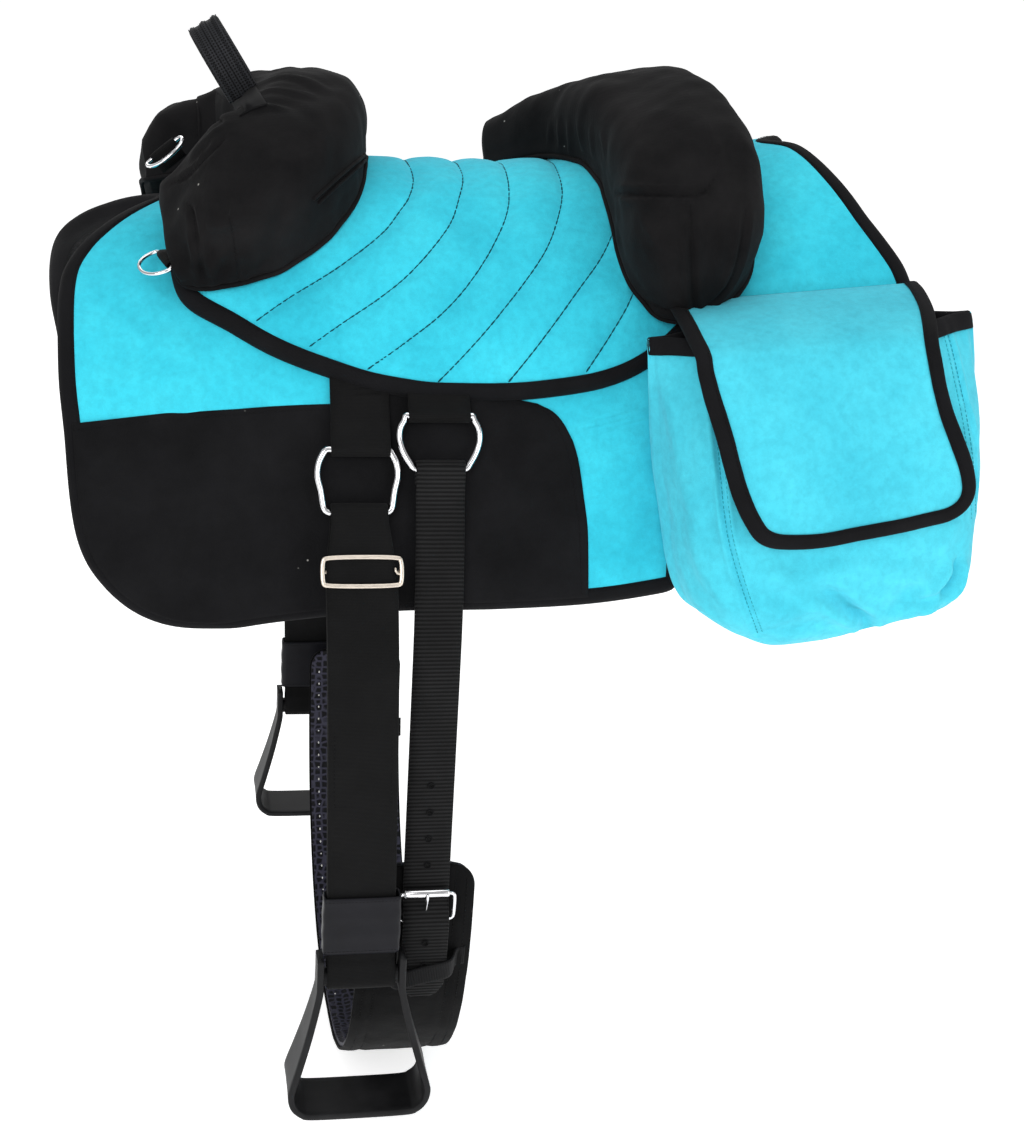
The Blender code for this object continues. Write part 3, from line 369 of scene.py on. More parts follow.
def leather(name, col, rough):
    m, nt, b = new_mat(name)
    vec = coords(nt)
    vo = node(nt, "ShaderNodeTexVoronoi", Scale=900.0)
    nt.links.new(vec.outputs["Vector"], vo.inputs["Vector"])
    big = noise(nt, vec, 30.0, 4.0)
    rr = ramp(nt, [(0.3, col), (0.7, tuple(c * 1.8 for c in col))])
    link(nt, big, 0, rr, 0)
    link(nt, rr, 0, b, "Base Color")
    b.inputs["Roughness"].default_value = rough
    b.inputs["Specular IOR Level"].default_value = 0.16
    bump_chain(nt, b, [(big, 0, 0.0006, 0.3), (vo, "Distance", 0.0001, 0.4)])
    return m


def fleece(name, col, depth=0.002, scale=260.0):
    m, nt, b = new_mat(name)
    vec = coords(nt)
    n = noise(nt, vec, scale, 5.0, 0.7)
    n2 = noise(nt, vec, 24.0, 4.0)
    rr = ramp(nt, [(0.3, tuple(c * 0.5 for c in col)), (0.75, tuple(c * 1.7 for c in col))])
    link(nt, n, 0, rr, 0)
    link(nt, rr, 0, b, "Base Color")
    b.inputs["Roughness"].default_value = 1.0
    b.inputs["Specular IOR Level"].default_value = 0.1
    b.inputs["Sheen Weight"].default_value = 0.05
    bump_chain(nt, b, [(n2, 0, 0.002, 0.5), (n, 0, depth, 0.9)])
    return m


M_SUEDE = suede("suede", (0.026, 0.475, 0.615), (0.038, 0.565, 0.715), (0.052, 0.63, 0.77))
M_SUEDE_BAG = suede("suede_bag", (0.050, 0.50, 0.64), (0.066, 0.57, 0.71), (0.084, 0.62, 0.76))
M_CANVAS = cloth("canvas", (0.0042, 0.0041, 0.0045), (0.0105, 0.0100, 0.0105), 0.85, 300.0, 0.0002)
M_PATCH = cloth("patch_canvas", (0.0045, 0.0045, 0.005), (0.0085, 0.0085, 0.0095), 0.85, 340.0, 0.00015, wrinkle=0.0022)
M_BINDING = webbing("binding_tape", (0.0036, 0.0036, 0.0042), (0.0075, 0.0075, 0.0088), 1.1, 0.0002, 0.8)
M_STRAP = webbing("strap_webbing", (0.0032, 0.0032, 0.0034), (0.0056, 0.0056, 0.0058), 1.3, 0.00022, 0.72)
M_RIB = webbing("ribbed_webbing", (0.0028, 0.0028, 0.003), (0.014, 0.014, 0.0145), 3.9, 0.0010, 0.62)
M_ELASTIC = webbing("elastic_tape", (0.006, 0.006, 0.0065), (0.013, 0.013, 0.014), 1.6, 0.0003, 0.7)
M_THREAD = cloth("thread", (0.004, 0.05, 0.07), (0.006, 0.07, 0.09), 0.8, 900.0, 0.0001, lint=False)
M_THREAD_BLACK = cloth("black_thread", (0.0025, 0.0025, 0.003), (0.006, 0.006, 0.0065), 0.7, 900.0, 0.0001, lint=False)
M_THREAD_BLUE = cloth("blue_thread", (0.016, 0.25, 0.32), (0.022, 0.31, 0.39), 0.8, 900.0, 0.0001, lint=False)
M_THREAD_WHITE = cloth("pale_thread", (0.55, 0.54, 0.52), (0.75, 0.74, 0.72), 0.8, 900.0, 0.0001, lint=False)
M_CHROME = metal("chrome", (0.83, 0.83, 0.85), 0.12)
M_NICKEL = metal("brushed_nickel", (0.74, 0.66, 0.57), 0.34, True)
M_PLASTIC = plastic("stirrup_plastic", (0.0062, 0.0062, 0.0068), 0.50)
M_LEATHER = leather("keeper_leather", (0.0040, 0.0040, 0.0056), 0.42)
M_NEO = honeycomb("honeycomb_neoprene")
M_FLEECE = fleece("black_fleece", (0.010, 0.010, 0.011))
M_FELT = fleece("grey_felt", (0.09, 0.09, 0.09), 0.0008, 500.0)
M_FOAM = fleece("foam", (0.55, 0.53, 0.48), 0.0006, 700.0)
M_GIRTH = cloth("girth_canvas", (0.003, 0.003, 0.0032), (0.0062, 0.0062, 0.0065), 0.82, 320.0, 0.0002, wrinkle=0.0016)
M_MESH = perforated("handle_mesh")
# near-black colour of the discs in the billet holes: painted shade inside the holes
M_HOLE_SHADE = plastic("punched_hole_painted_shade", (0.001, 0.001, 0.001), 0.9)

# ------------------------------------------------------------------ geometry of the drape
PAD_MAX_ANGLE = math.radians(84.0)
PAD_CURVE = 178.0
SPINE = [(-420, -44), (-300, -26), (-200, -10), (-100, -1), (0, 0), (100, 6), (200, 24), (300, 48), (400, 62)]
FAR_SKEW = -24.0
_ST = 2.0
_tab = np.zeros((351, 3))
for _k in range(350):
    _a = PAD_MAX_ANGLE * (1 - math.exp(-((_k + 0.5) * _ST) / PAD_CURVE))
    _tab[_k + 1] = (_tab[_k][0] + _ST, _tab[_k][1] + _ST * math.cos(_a), _tab[_k][2] - _ST * math.sin(_a))


def _hermite(x, pairs):
    if x <= pairs[0][0]:
        return pairs[0][1]
    if x >= pairs[-1][0]:
        return pairs[-1][1]
    k = max(i for i in range(len(pairs) - 1) if pairs[i][0] <= x)
    x0, y0 = pairs[k]
    x1, y1 = pairs[k + 1]

    def slope(i):
        a, b = pairs[max(i - 1, 0)], pairs[min(i + 1, len(pairs) - 1)]
        return (b[1] - a[1]) / (b[0] - a[0])
    h = x1 - x0
    t = (x - x0) / h
    m0, m1 = slope(k) * h, slope(k + 1) * h
    return ((2 * t ** 3 - 3 * t ** 2 + 1) * y0 + (t ** 3 - 2 * t ** 2 + t) * m0
            + (-2 * t ** 3 + 3 * t ** 2) * y1 + (t ** 3 - t ** 2) * m1)


_sx = np.arange(-470, 471, 1.0)
_sz = np.array([_hermite(v, SPINE) for v in _sx])


def spine(x):
    return np.interp(x, _sx, _sz)


def drape(x, u, h=0.0):
    """(x, u, h) on the cloth to a point in space; arrays are allowed."""
    x, u, h = np.broadcast_arrays(np.asarray(x, float), np.asarray(u, float), np.asarray(h, float))
    s = np.abs(u)
    sign = np.where(u < 0, -1.0, 1.0)
    a = PAD_MAX_ANGLE * (1 - np.exp(-s / PAD_CURVE))
    y = np.interp(s, _tab[:, 0], _tab[:, 1])
    z = np.interp(s, _tab[:, 0], _tab[:, 2])
    m = (spine(x + 4) - spine(x - 4)) / 8.0
    n = h / np.sqrt(1 + (m * np.cos(a)) ** 2)
    return np.stack([x - n * m * np.cos(a), sign * (y + n * np.sin(a)), spine(x) + z + n * np.cos(a)], -1)


def skew(u):
    t = np.clip(np.asarray(u, float) / 200.0, 0, 1)
    return FAR_SKEW * t * t * (3 - 2 * t)


def pchip(x, pts):
    """Monotone smooth interpolation through (x, y) pairs; x may be an array."""
    px = np.array([p[0] for p in pts], float)
    py = np.array([p[1] for p in pts], float)
    h = np.diff(px)
    d = np.diff(py) / h
    m = np.zeros(len(px))
    for i in range(1, len(px) - 1):
        if d[i - 1] * d[i] > 0:
            w1, w2 = 2 * h[i] + h[i - 1], h[i] + 2 * h[i - 1]
            m[i] = (w1 + w2) / (w1 / d[i - 1] + w2 / d[i])
    m[0], m[-1] = d[0], d[-1]
    x = np.clip(np.asarray(x, float), px[0], px[-1])
    k = np.clip(np.searchsorted(px, x, side='right') - 1, 0, len(px) - 2)
    t = (x - px[k]) / h[k]
    return ((2 * t ** 3 - 3 * t ** 2 + 1) * py[k] + (t ** 3 - 2 * t ** 2 + t) * h[k] * m[k]
            + (-2 * t ** 3 + 3 * t ** 2) * py[k + 1] + (t ** 3 - t ** 2) * h[k] * m[k + 1])


def catmull(pts, n, closed=False):
    P = np.array(pts, float)
    if closed:
        P = np.vstack([P[-1], P, P[0], P[1]])
    else:
        P = np.vstack([2 * P[0] - P[1], P, 2 * P[-1] - P[-2]])
    out = []
    for k in range(1, len(P) - 2):
        a, b, c, d = P[k - 1], P[k], P[k + 1], P[k + 2]
        for i in range(n):
            t = i / n
            out.append(0.5 * (2 * b + (c - a) * t + (2 * a - 5 * b + 4 * c - d) * t * t
                              + (3 * b - a - 3 * c + d) * t ** 3))
    if not closed:
        out.append(P[-2])
    return np.array(out)


def resample(P, step=None, n=None, closed=False):
    """Points at even arc length along a polyline of any dimension."""
    P = np.asarray(P, float)
    Q = np.vstack([P, P[:1]]) if closed else P
    d = np.r_[0, np.cumsum(np.linalg.norm(np.diff(Q, axis=0), axis=1))]
    if n is None:
        n = max(3, int(round(d[-1] / step)) + (0 if closed else 1))
    t = np.linspace(0, d[-1], n + 1)[:-1] if closed else np.linspace(0, d[-1], n)
    return np.stack([np.interp(t, d, Q[:, k]) for k in range(Q.shape[1])], -1)


def waves(P, seed, size, n=14, stretch=(1, 1, 1)):
    """Smooth noise of about unit range: sines with seeded directions."""
    r = np.random.RandomState(seed)
    P = np.asarray(P, float) / np.array(stretch, float)[:np.asarray(P).shape[-1]]
    out = np.zeros(P.shape[:-1])
    for _ in range(n):
        d = r.normal(size=P.shape[-1])
        d /= np.linalg.norm(d)
        f = 2 * math.pi / (size * r.uniform(0.6, 1.7))
        out += np.sin(P @ d * f + r.uniform(0, 2 * math.pi))
    return out / math.sqrt(n) * 0.9


def near_line(P, L):
    """Distance from each point to the closest of the line's points, and its index."""
    P = np.asarray(P, float)
    flat = P.reshape(-1, P.shape[-1])
    L = np.asarray(L, float)
    best = np.full(len(flat), 1e9)
    idx = np.zeros(len(flat), int)
    for a in range(0, len(flat), 4000):
        d = ((flat[a:a + 4000, None, :] - L[None]) ** 2).sum(-1)
        idx[a:a + 4000] = d.argmin(1)
        best[a:a + 4000] = d.min(1)
    return np.sqrt(best).reshape(P.shape[:-1]), idx.reshape(P.shape[:-1])


# ------------------------------------------------------------------ mesh helpers


FLIP = {"y": False}      # while this is set, pieces are made for the far side


def signed_volume(V, faces):
    c = V.mean(0)
    tot = 0.0
    by = {}
    for f in faces:
        by.setdefault(len(f), []).append(f)
    for n, fs in by.items():
        A = V[np.array(fs, dtype=int)] - c
        for k in range(1, n - 1):
            tot += np.einsum('ij,ij->i', A[:, 0], np.cross(A[:, k], A[:, k + 1])).sum()
    return tot


def make(name, verts, faces, mat, uv=None, body="root", slot=None, smooth=True, subsurf=0, angle=None):
    """Mesh in world millimetres to a piece that rides on a body."""
    me = bpy.data.meshes.new(name)
    V = np.array(verts, float).reshape(-1, 3) * MM
    if FLIP["y"]:
        V[:, 1] *= -1
    if signed_volume(V, faces) < 0:
        faces = [tuple(f)[::-1] for f in faces]
    me.from_pydata(V.tolist(), [], [tuple(int(i) for i in f) for f in faces])
    if uv is not None:
        UV = np.asarray(uv, float).reshape(-1, 2) * MM
        layer = me.uv_layers.new(name="flat")
        li = np.zeros(len(me.loops), dtype=np.int32)
        me.loops.foreach_get("vertex_index", li)
        layer.data.foreach_set("uv", UV[li].ravel())
    me.validate()
    me.update()
    if smooth:
        me.shade_smooth()
    if angle:
        me.set_sharp_from_angle(angle=math.radians(angle))
    o = bpy.data.objects.new(name, me)
    scene.collection.objects.link(o)
    me.materials.append(mat)
    if subsurf:
        s = o.modifiers.new("smooth", 'SUBSURF')
        s.levels = s.render_levels = subsurf
    if body:
        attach(o, body)
    return o


def grid_faces(ni, nj, cyc_i=False, cyc_j=False, base=0, flip=False):
    out = []
    for i in range(ni if cyc_i else ni - 1):
        i2 = (i + 1) % ni
        for j in range(nj if cyc_j else nj - 1):
            j2 = (j + 1) % nj
            f = (base + i * nj + j, base + i2 * nj + j, base + i2 * nj + j2, base + i * nj + j2)
            out.append(f[::-1] if flip else f)
    return out


def shell(name, top, bot, mat, uv=None, flip=False, **kw):
    """Closed solid between two point grids of the same shape."""
    ni, nj = top.shape[:2]
    n = ni * nj
    F = grid_faces(ni, nj, flip=flip) + grid_faces(ni, nj, base=n, flip=not flip)
    rim = ([(i, 0) for i in range(ni)] + [(ni - 1, j) for j in range(1, nj)]
           + [(i, nj - 1) for i in range(ni - 2, -1, -1)] + [(0, j) for j in range(nj - 2, 0, -1)])
    ids = [i * nj + j for i, j in rim]
    for a, b in zip(ids, ids[1:] + ids[:1]):
        f = (a, a + n, b + n, b)
        F.append(f[::-1] if flip else f)
    UV = None if uv is None else np.concatenate([uv.reshape(-1, 2), uv.reshape(-1, 2)])
    return make(name, np.concatenate([top.reshape(-1, 3), bot.reshape(-1, 3)]), F, mat, uv=UV, **kw)


def frames_along(P, closed=False, up=None):
    """Tangents and two normals along a 3D polyline; parallel transport, or kept near up."""
    P = np.asarray(P, float)
    n = len(P)
    if closed:
        T = np.roll(P, -1, 0) - np.roll(P, 1, 0)
    else:
        T = np.gradient(P, axis=0)
    T /= np.linalg.norm(T, axis=1, keepdims=True) + 1e-12
    N = np.zeros_like(P)
    if up is not None:
        U = np.broadcast_to(np.asarray(up, float), P.shape)
        N = U - T * (U * T).sum(1, keepdims=True)
        N /= np.linalg.norm(N, axis=1, keepdims=True) + 1e-12
    else:
        a = np.array([0, 0, 1.0]) if abs(T[0][2]) < 0.9 else np.array([1.0, 0, 0])
        v = a - T[0] * a.dot(T[0])
        v /= np.linalg.norm(v)
        for i in range(n):
            v = v - T[i] * v.dot(T[i])
            v /= np.linalg.norm(v) + 1e-12
            N[i] = v
        if closed:
            v2 = N[-1] - T[0] * N[-1].dot(T[0])
            ang = math.atan2(np.cross(v2, N[0]).dot(T[0]), v2.dot(N[0]))
            for i in range(n):
                c, s = math.cos(ang * i / n), math.sin(ang * i / n)
                N[i] = N[i] * c + np.cross(T[i], N[i]) * s
    B = np.cross(T, N)
    return T, N, B


def tube(name, P, radius, mat, closed=False, sides=10, up=None, squash=1.0, **kw):
    """Round tube along points; radius may be one for each point; capped when open."""
    P = np.asarray(P, float)
    T, N, B = frames_along(P, closed, up)
    r = np.broadcast_to(np.asarray(radius, float), (len(P),))
    ang = np.arange(sides) / sides * 2 * math.pi
    V = (P[:, None] + N[:, None] * (np.cos(ang)[None, :, None] * r[:, None, None] * squash)
         + B[:, None] * (np.sin(ang)[None, :, None] * r[:, None, None]))
    F = grid_faces(len(P), sides, cyc_i=closed, cyc_j=True, flip=True)
    V = V.reshape(-1, 3)
    if not closed:
        k = len(V)
        V = np.vstack([V, P[0] - T[0] * r[0] * 0.5, P[-1] + T[-1] * r[-1] * 0.5])
        for j in range(sides):
            F.append((k, j, (j + 1) % sides)[::-1])
            a = (len(P) - 1) * sides
            F.append((k + 1, a + (j + 1) % sides, a + j)[::-1])
    L = np.r_[0, np.cumsum(np.linalg.norm(np.diff(P, axis=0), axis=1))]
    UV = np.stack(np.broadcast_arrays(ang[None, :] * r[:, None], L[:, None]), -1).reshape(-1, 2)
    if not closed:
        UV = np.vstack([UV, [0, 0], [0, L[-1]]])
    return make(name, V, F, mat, uv=UV, **kw)


def sweep(name, P, N, section, mat, closed=False, side=None, cap=True, **kw):
    """Section of (across, out) pairs along P: out is along N, across along side
    (or the cross product).  section may be an array (len(P), k, 2)."""
    P, N = np.asarray(P, float), np.asarray(N, float)
    T = (np.roll(P, -1, 0) - np.roll(P, 1, 0)) if closed else np.gradient(P, axis=0)
    T /= np.linalg.norm(T, axis=1, keepdims=True) + 1e-12
    B = np.cross(T, N) if side is None else np.broadcast_to(np.asarray(side, float), P.shape)
    S = np.asarray(section, float)
    if S.ndim == 2:
        S = np.broadcast_to(S, (len(P),) + S.shape)
    V = P[:, None] + B[:, None] * S[:, :, :1] + N[:, None] * S[:, :, 1:]
    k = S.shape[1]
    F = grid_faces(len(P), k, cyc_i=closed, cyc_j=True)
    if cap and not closed:
        F.append(tuple(range(k)))
        F.append(tuple(range((len(P) - 1) * k, len(P) * k))[::-1])
    L = np.r_[0, np.cumsum(np.linalg.norm(np.diff(P, axis=0), axis=1))]
    UV = np.stack(np.broadcast_arrays(S[:, :, 0], L[:, None]), -1)
    return make(name, V.reshape(-1, 3), F, mat, uv=UV.reshape(-1, 2), **kw)


def stitches(name, P, N, mat, length=3.2, gap=1.3, radius=0.5, sink=0.1, body="root", slot=None):
    """Row of short threads along a line, each a low rounded bead."""
    P = resample(P, 0.9)
    N = np.asarray(N, float)
    if N.ndim == 1:
        N = np.broadcast_to(N, P.shape)
    elif len(N) != len(P):
        t = np.linspace(0, len(N) - 1, len(P))
        N = np.stack([np.interp(t, np.arange(len(N)), N[:, k]) for k in range(3)], -1)
    N = N / (np.linalg.norm(N, axis=1, keepdims=True) + 1e-12)
    step = (length + gap) / 0.9
    V, F = [], []
    k = 0
    i = 0.0
    m = length / 0.9
    while i + m < len(P) - 1:
        a, b = P[int(i)], P[int(i + m)]
        n = N[int(i + m / 2)]
        t = (b - a) / (np.linalg.norm(b - a) + 1e-12)
        s = np.cross(t, n)
        base = []
        for f, r in ((0.0, 0.35), (0.25, 1.0), (0.75, 1.0), (1.0, 0.35)):
            c = a + (b - a) * f - n * sink
            for q in range(6):
                w = q / 6 * 2 * math.pi
                base.append(c + (s * math.cos(w) + n * math.sin(w)) * radius * r)
        V += base
        F += grid_faces(4, 6, cyc_j=True, base=k)
        F.append(tuple(range(k, k + 6)))
        F.append(tuple(range(k + 18, k + 24))[::-1])
        k += 24
        i += step
    return make(name, np.array(V), F, mat, uv=np.zeros((len(V), 2)), body=body, slot=slot)


def drape_normal(x, u):
    p0 = drape(x, u, 0.0)
    p1 = drape(x, u, 10.0)
    n = p1 - p0
    return n / np.linalg.norm(n, axis=-1, keepdims=True)


# ------------------------------------------------------------------ main pad
LINING_T, FELT_T, COVER_T, GAP = 4.0, 9.0, 3.2, 0.5
H1 = LINING_T + GAP
H2 = H1 + FELT_T
H3 = H2 + GAP
H4 = H3 + COVER_T
FRONT = [(0, -300), (43, -345), (79, -374), (106, -386), (140, -389), (200, -388), (255, -383),
         (308, -379), (342, -374), (366, -366), (387, -353), (410, -332), (427, -306), (435, -284),
         (443, -240)]
REAR = [(0, 291), (24, 314), (71, 330), (134, 354), (189, 383), (225, 392), (252, 385), (276, 320),
        (292, 176), (306, 166), (443, 164)]
S_MAX = 443.0


def pad_rows(smax, fine=True):
    a = np.linspace(0, 400, 81)
    b = np.linspace(400, smax, 18)[1:]
    s = np.r_[a, b]
    return np.r_[-s[::-1], s[1:]]


def pad_xy(columns, inset=0.0):
    rows = pad_rows(S_MAX - inset)
    s = np.abs(rows)
    xa = pchip(s, FRONT) + inset
    xb = np.interp(s, [p[0] for p in REAR], [p[1] for p in REAR]) - inset
    t = np.linspace(0, 1, columns)
    X = xa[None, :] + (xb - xa)[None, :] * t[:, None]
    U = np.broadcast_to(rows[None, :], X.shape)
    return X + skew(U), U


def pad_outline():
    s = np.r_[np.linspace(0, 400, 101), np.linspace(400, S_MAX, 30)[1:]]
    xa = pchip(s, FRONT)
    xb = np.interp(s, [p[0] for p in REAR], [p[1] for p in REAR])
    near_f = np.stack([xa, -s], -1)
    bottom = np.stack([np.linspace(xa[-1], xb[-1], 60), np.full(60, -S_MAX)], -1)[1:-1]
    near_r = np.stack([xb, -s], -1)[::-1]
    near = np.vstack([near_f, bottom, near_r])
    far = near[::-1].copy()
    far[:, 1] *= -1
    far[:, 0] += skew(far[:, 1])
    loop = np.vstack([near, far[1:-1]])
    loop = resample(loop, 4.0, closed=True)
    for _ in range(5):
        loop = (np.roll(loop, 1, 0) + 2 * loop + np.roll(loop, -1, 0)) / 4
    return loop


OUT = pad_outline()


def rounded_loop_normals(L):
    """Outward normals of a closed (x, u) loop."""
    T = np.roll(L, -1, 0) - np.roll(L, 1, 0)
    T /= np.linalg.norm(T, axis=1, keepdims=True)
    area = (L[:, 0] * np.roll(L[:, 1], -1) - np.roll(L[:, 0], -1) * L[:, 1]).sum()
    N = np.stack([T[:, 1], -T[:, 0]], -1)
    return N if area > 0 else -N


def band(name, L, section, mat, body="root", slot=None, wobble=0.0, seed=3):
    """Closed band of (w, h) section round a loop; w is outward along the cloth."""
    N = rounded_loop_normals(L)
    S = np.asarray(section, float)
    X = L[:, None, 0] + N[:, None, 0] * S[None, :, 0]
    U = L[:, None, 1] + N[:, None, 1] * S[None, :, 0]
    H = np.broadcast_to(S[None, :, 1], X.shape).copy()
    if wobble:
        H = H + waves(np.stack([X, U], -1), seed, 60.0) * wobble
    V = drape(X, U, H)
    d = np.r_[0, np.cumsum(np.linalg.norm(np.diff(L, axis=0), axis=1))]
    sd = np.r_[0, np.cumsum(np.linalg.norm(np.diff(S, axis=0), axis=1))]
    UV = np.stack(np.broadcast_arrays(sd[None, :], d[:, None]), -1)
    area = (L[:, 0] * np.roll(L[:, 1], -1) - np.roll(L[:, 0], -1) * L[:, 1]).sum()
    return make(name, V.reshape(-1, 3), grid_faces(len(L), len(S), cyc_i=True, cyc_j=True, flip=area < 0),
                mat, uv=UV.reshape(-1, 2), body=body, slot=slot)


X, U = pad_xy(170)
E, _ = near_line(np.stack([X, U], -1), OUT)
pinch = 2.6 * np.exp(-E / 9.0)
soft = waves(np.stack([X, U], -1), 5, 150.0) * 0.7 + waves(np.stack([X, U], -1), 6, 55.0) * 0.22
fade = 1 - np.exp(-E / 25.0)
front_fold = np.zeros_like(X)
for (fx, fs), (tx, ts), depth, width in (((-372, 150), (-250, 215), 0.9, 10.0), ((-380, 235), (-300, 205), 0.7, 9.0),
                                         ((-340, 110), (-290, 175), 0.8, 10.0), ((95, 300), (140, 420), 0.8, 12.0),
                                         ((110, 268), (128, 330), 0.9, 9.0)):
    line = np.stack([np.linspace(fx, tx, 30), -np.linspace(fs, ts, 30)], -1)
    d, k = near_line(np.stack([X, U], -1), line)
    env = np.sin(np.clip(k / 29.0, 0, 1) * math.pi)
    front_fold += depth * env * (np.exp(-(d / width) ** 2) - 0.6 * np.exp(-((d - width * 1.4) / width) ** 2))
TOP_H = H4 - pinch + soft * fade + front_fold
uv_pad = np.stack([X, U], -1)
cover = shell("suede_cover_cloth", drape(X, U, TOP_H), drape(X, U, H3), M_SUEDE, uv=uv_pad, slot="suede")
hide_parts("suede_cover")
felt = shell("felt_layer", drape(X[::4, ::2], U[::4, ::2], H2 - 0.2), drape(X[::4, ::2], U[::4, ::2], H1 + 0.2),
             M_FELT, uv=uv_pad[::4, ::2], slot="felt")
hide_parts("felt_core")
fuzz = waves(np.stack([X, U], -1), 9, 14.0) * 0.35 + waves(np.stack([X, U], -1), 10, 60.0) * 0.5
lining = shell("fleece_lining", drape(X, U, LINING_T), drape(X, U, 0.5 + fuzz * 0.8 + 1.2 * np.exp(-E / 8.0)),
               M_FLEECE, uv=uv_pad, slot="fleece")
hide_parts("lining_fleece")

EDGE = [(-10.0, H4 - 1.1), (-9.6, H4 - 0.1), (-6.0, H4 + 0.5), (-2.0, H4 + 0.3), (1.5, H4 - 0.9), (4.0, H4 - 3.6),
        (5.4, 11.5), (5.5, 7.0), (4.6, 2.6), (2.2, -0.2), (-2.0, -1.2), (-6.0, -1.3), (-9.6, -0.7), (-10.0, 0.6),
        (-5.0, 0.9), (0.0, 1.4), (2.6, 4.0), (3.4, 8.0), (2.4, 12.6), (-0.4, H4 - 2.6), (-5.0, H4 - 1.6)]
binding = band("edge_binding_tape", OUT, EDGE, M_BINDING, slot="webbing", wobble=0.3)
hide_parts("edge_binding")
LN = rounded_loop_normals(OUT)
row = OUT - LN * 7.6
stitches("edge_stitching", drape(row[:, 0], row[:, 1], H4 + 0.55), drape_normal(row[:, 0], row[:, 1]),
         M_THREAD_BLACK, 2.6, 1.4, 0.32, slot="webbing")

# wear patches on both lower panels
PATCH_TOP = [(-390, 248), (-300, 250), (-236, 256), (-146, 261), (-120, 251), (-95, 250), (-40, 253), (8, 259), (40, 266)]
PATCH_REAR = [(252, 33), (256, 42), (264, 50), (274, 56), (292, 63), (315, 70), (345, 75), (385, 80), (443, 81)]
for side, sg in (("near", -1.0), ("far", 1.0)):
    s = np.r_[np.linspace(0, 1, 70)]
    S0 = 252 + s * (441 - 252)
    t = np.linspace(0, 1, 110)
    XA = pchip(S0, FRONT) + 2.5
    XB = pchip(S0, PATCH_REAR)
    PX = XA[None, :] + (XB - XA)[None, :] * t[:, None]
    top = np.interp(PX, [p[0] for p in PATCH_TOP], [p[1] for p in PATCH_TOP])
    PS = np.where(S0[None, :] < 300, top + (300 - top) * (S0[None, :] - 252) / 48.0, S0[None, :])
    PU = PS * sg
    PXs = PX + skew(PU)
    P2 = np.stack([PX, PS], -1)
    edge = np.vstack([P2[:, 0], P2[-1, :], P2[:, -1], P2[0, :]])
    ed, _ = near_line(P2, edge)
    # the patch is sewn round its edge and a little full in between
    ph = (H4 + 0.9 + 1.3 * (1 - np.exp(-ed / 5.0)) + waves(np.stack([PXs, PU], -1), 21, 120.0) * 0.8
          + waves(np.stack([PXs, PU], -1), 22, 38.0) * 0.35 * (1 - np.exp(-ed / 20.0)))
    uvp = np.stack([PXs, PU], -1)
    o = shell("wear_patch_cloth_" + side, drape(PXs, PU, ph), drape(PXs, PU, H4 - 0.6 + 0 * ph), M_PATCH, uv=uvp,
              flip=sg > 0, slot="canvas")
    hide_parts("wear_patch_" + side)
    # hem line along the patch's top edge and rear edge
    hem = np.vstack([np.stack([PXs[:, 2], PU[:, 2]], -1), np.stack([PXs[-3, :], PU[-3, :]], -1)])
    hh = np.r_[ph[:, 2], ph[-3, :]]
    stitches("patch_stitching_" + side, drape(hem[:, 0], hem[:, 1], hh + 0.15), drape_normal(hem[:, 0], hem[:, 1]),
             M_THREAD_BLACK, 2.6, 1.2, 0.35, slot="canvas")

# ------------------------------------------------------------------ quilted seat
SEAT_FRONT = [(0, -284), (92, -286), (143, -280), (180, -236), (200, -210), (215, -184), (231, -148),
              (244, -112), (252, -70)]
SEAT_REAR = [(0, 252), (92, 247), (148, 228), (196, 187), (232, 138), (245, 96), (252, 20)]
SEAT_S = 252.0
QUILT = [[(-69, -6), (-68, 39), (-75, 69), (-86, 88), (-102, 110), (-127, 131), (-158, 151), (-187, 166), (-213, 180), (-240, 194)],
         [(-19, 0), (-20, 38), (-28, 68), (-40, 99), (-61, 129), (-89, 158), (-123, 182), (-170, 209), (-203, 228)],
         [(26, 0), (23, 49), (16, 86), (-1, 121), (-25, 156), (-56, 189), (-94, 217), (-112, 228), (-140, 245)],
         [(78, 0), (77, 21), (74, 60), (65, 91), (47, 129), (14, 171), (-21, 209), (-59, 246), (-72, 258)],
         [(140, 0), (136, 50), (125, 92), (104, 133), (69, 174), (33, 216), (2, 250), (-6, 259)],
         [(172, 0), (168, 70), (152, 130), (123, 182), (104, 208), (75, 244), (66, 256)]]


def seat_outline():
    s = np.linspace(0, SEAT_S, 90)
    xa, xb = pchip(s, SEAT_FRONT), pchip(s, SEAT_REAR)
    near_f = np.stack([xa, -s], -1)
    bottom = np.stack([np.linspace(xa[-1], xb[-1], 30), np.full(30, -SEAT_S)], -1)[1:-1]
    near = np.vstack([near_f, bottom, np.stack([xb, -s], -1)[::-1]])
    far = near[::-1].copy()
    far[:, 1] *= -1
    far[:, 0] += skew(far[:, 1])
    loop = resample(np.vstack([near, far[1:-1]]), 4.0, closed=True)
    for _ in range(12):
        loop = (np.roll(loop, 1, 0) + 2 * loop + np.roll(loop, -1, 0)) / 4
    return loop


SEAT_OUT = seat_outline()
QL = []
for q in QUILT:
    c = resample(catmull(q, 14), 1.5)
    QL.append(np.stack([c[:, 0], -c[:, 1]], -1))
    QL.append(np.stack([c[:, 0] + skew(c[:, 1]), c[:, 1]], -1))
QALL = np.vstack(QL)


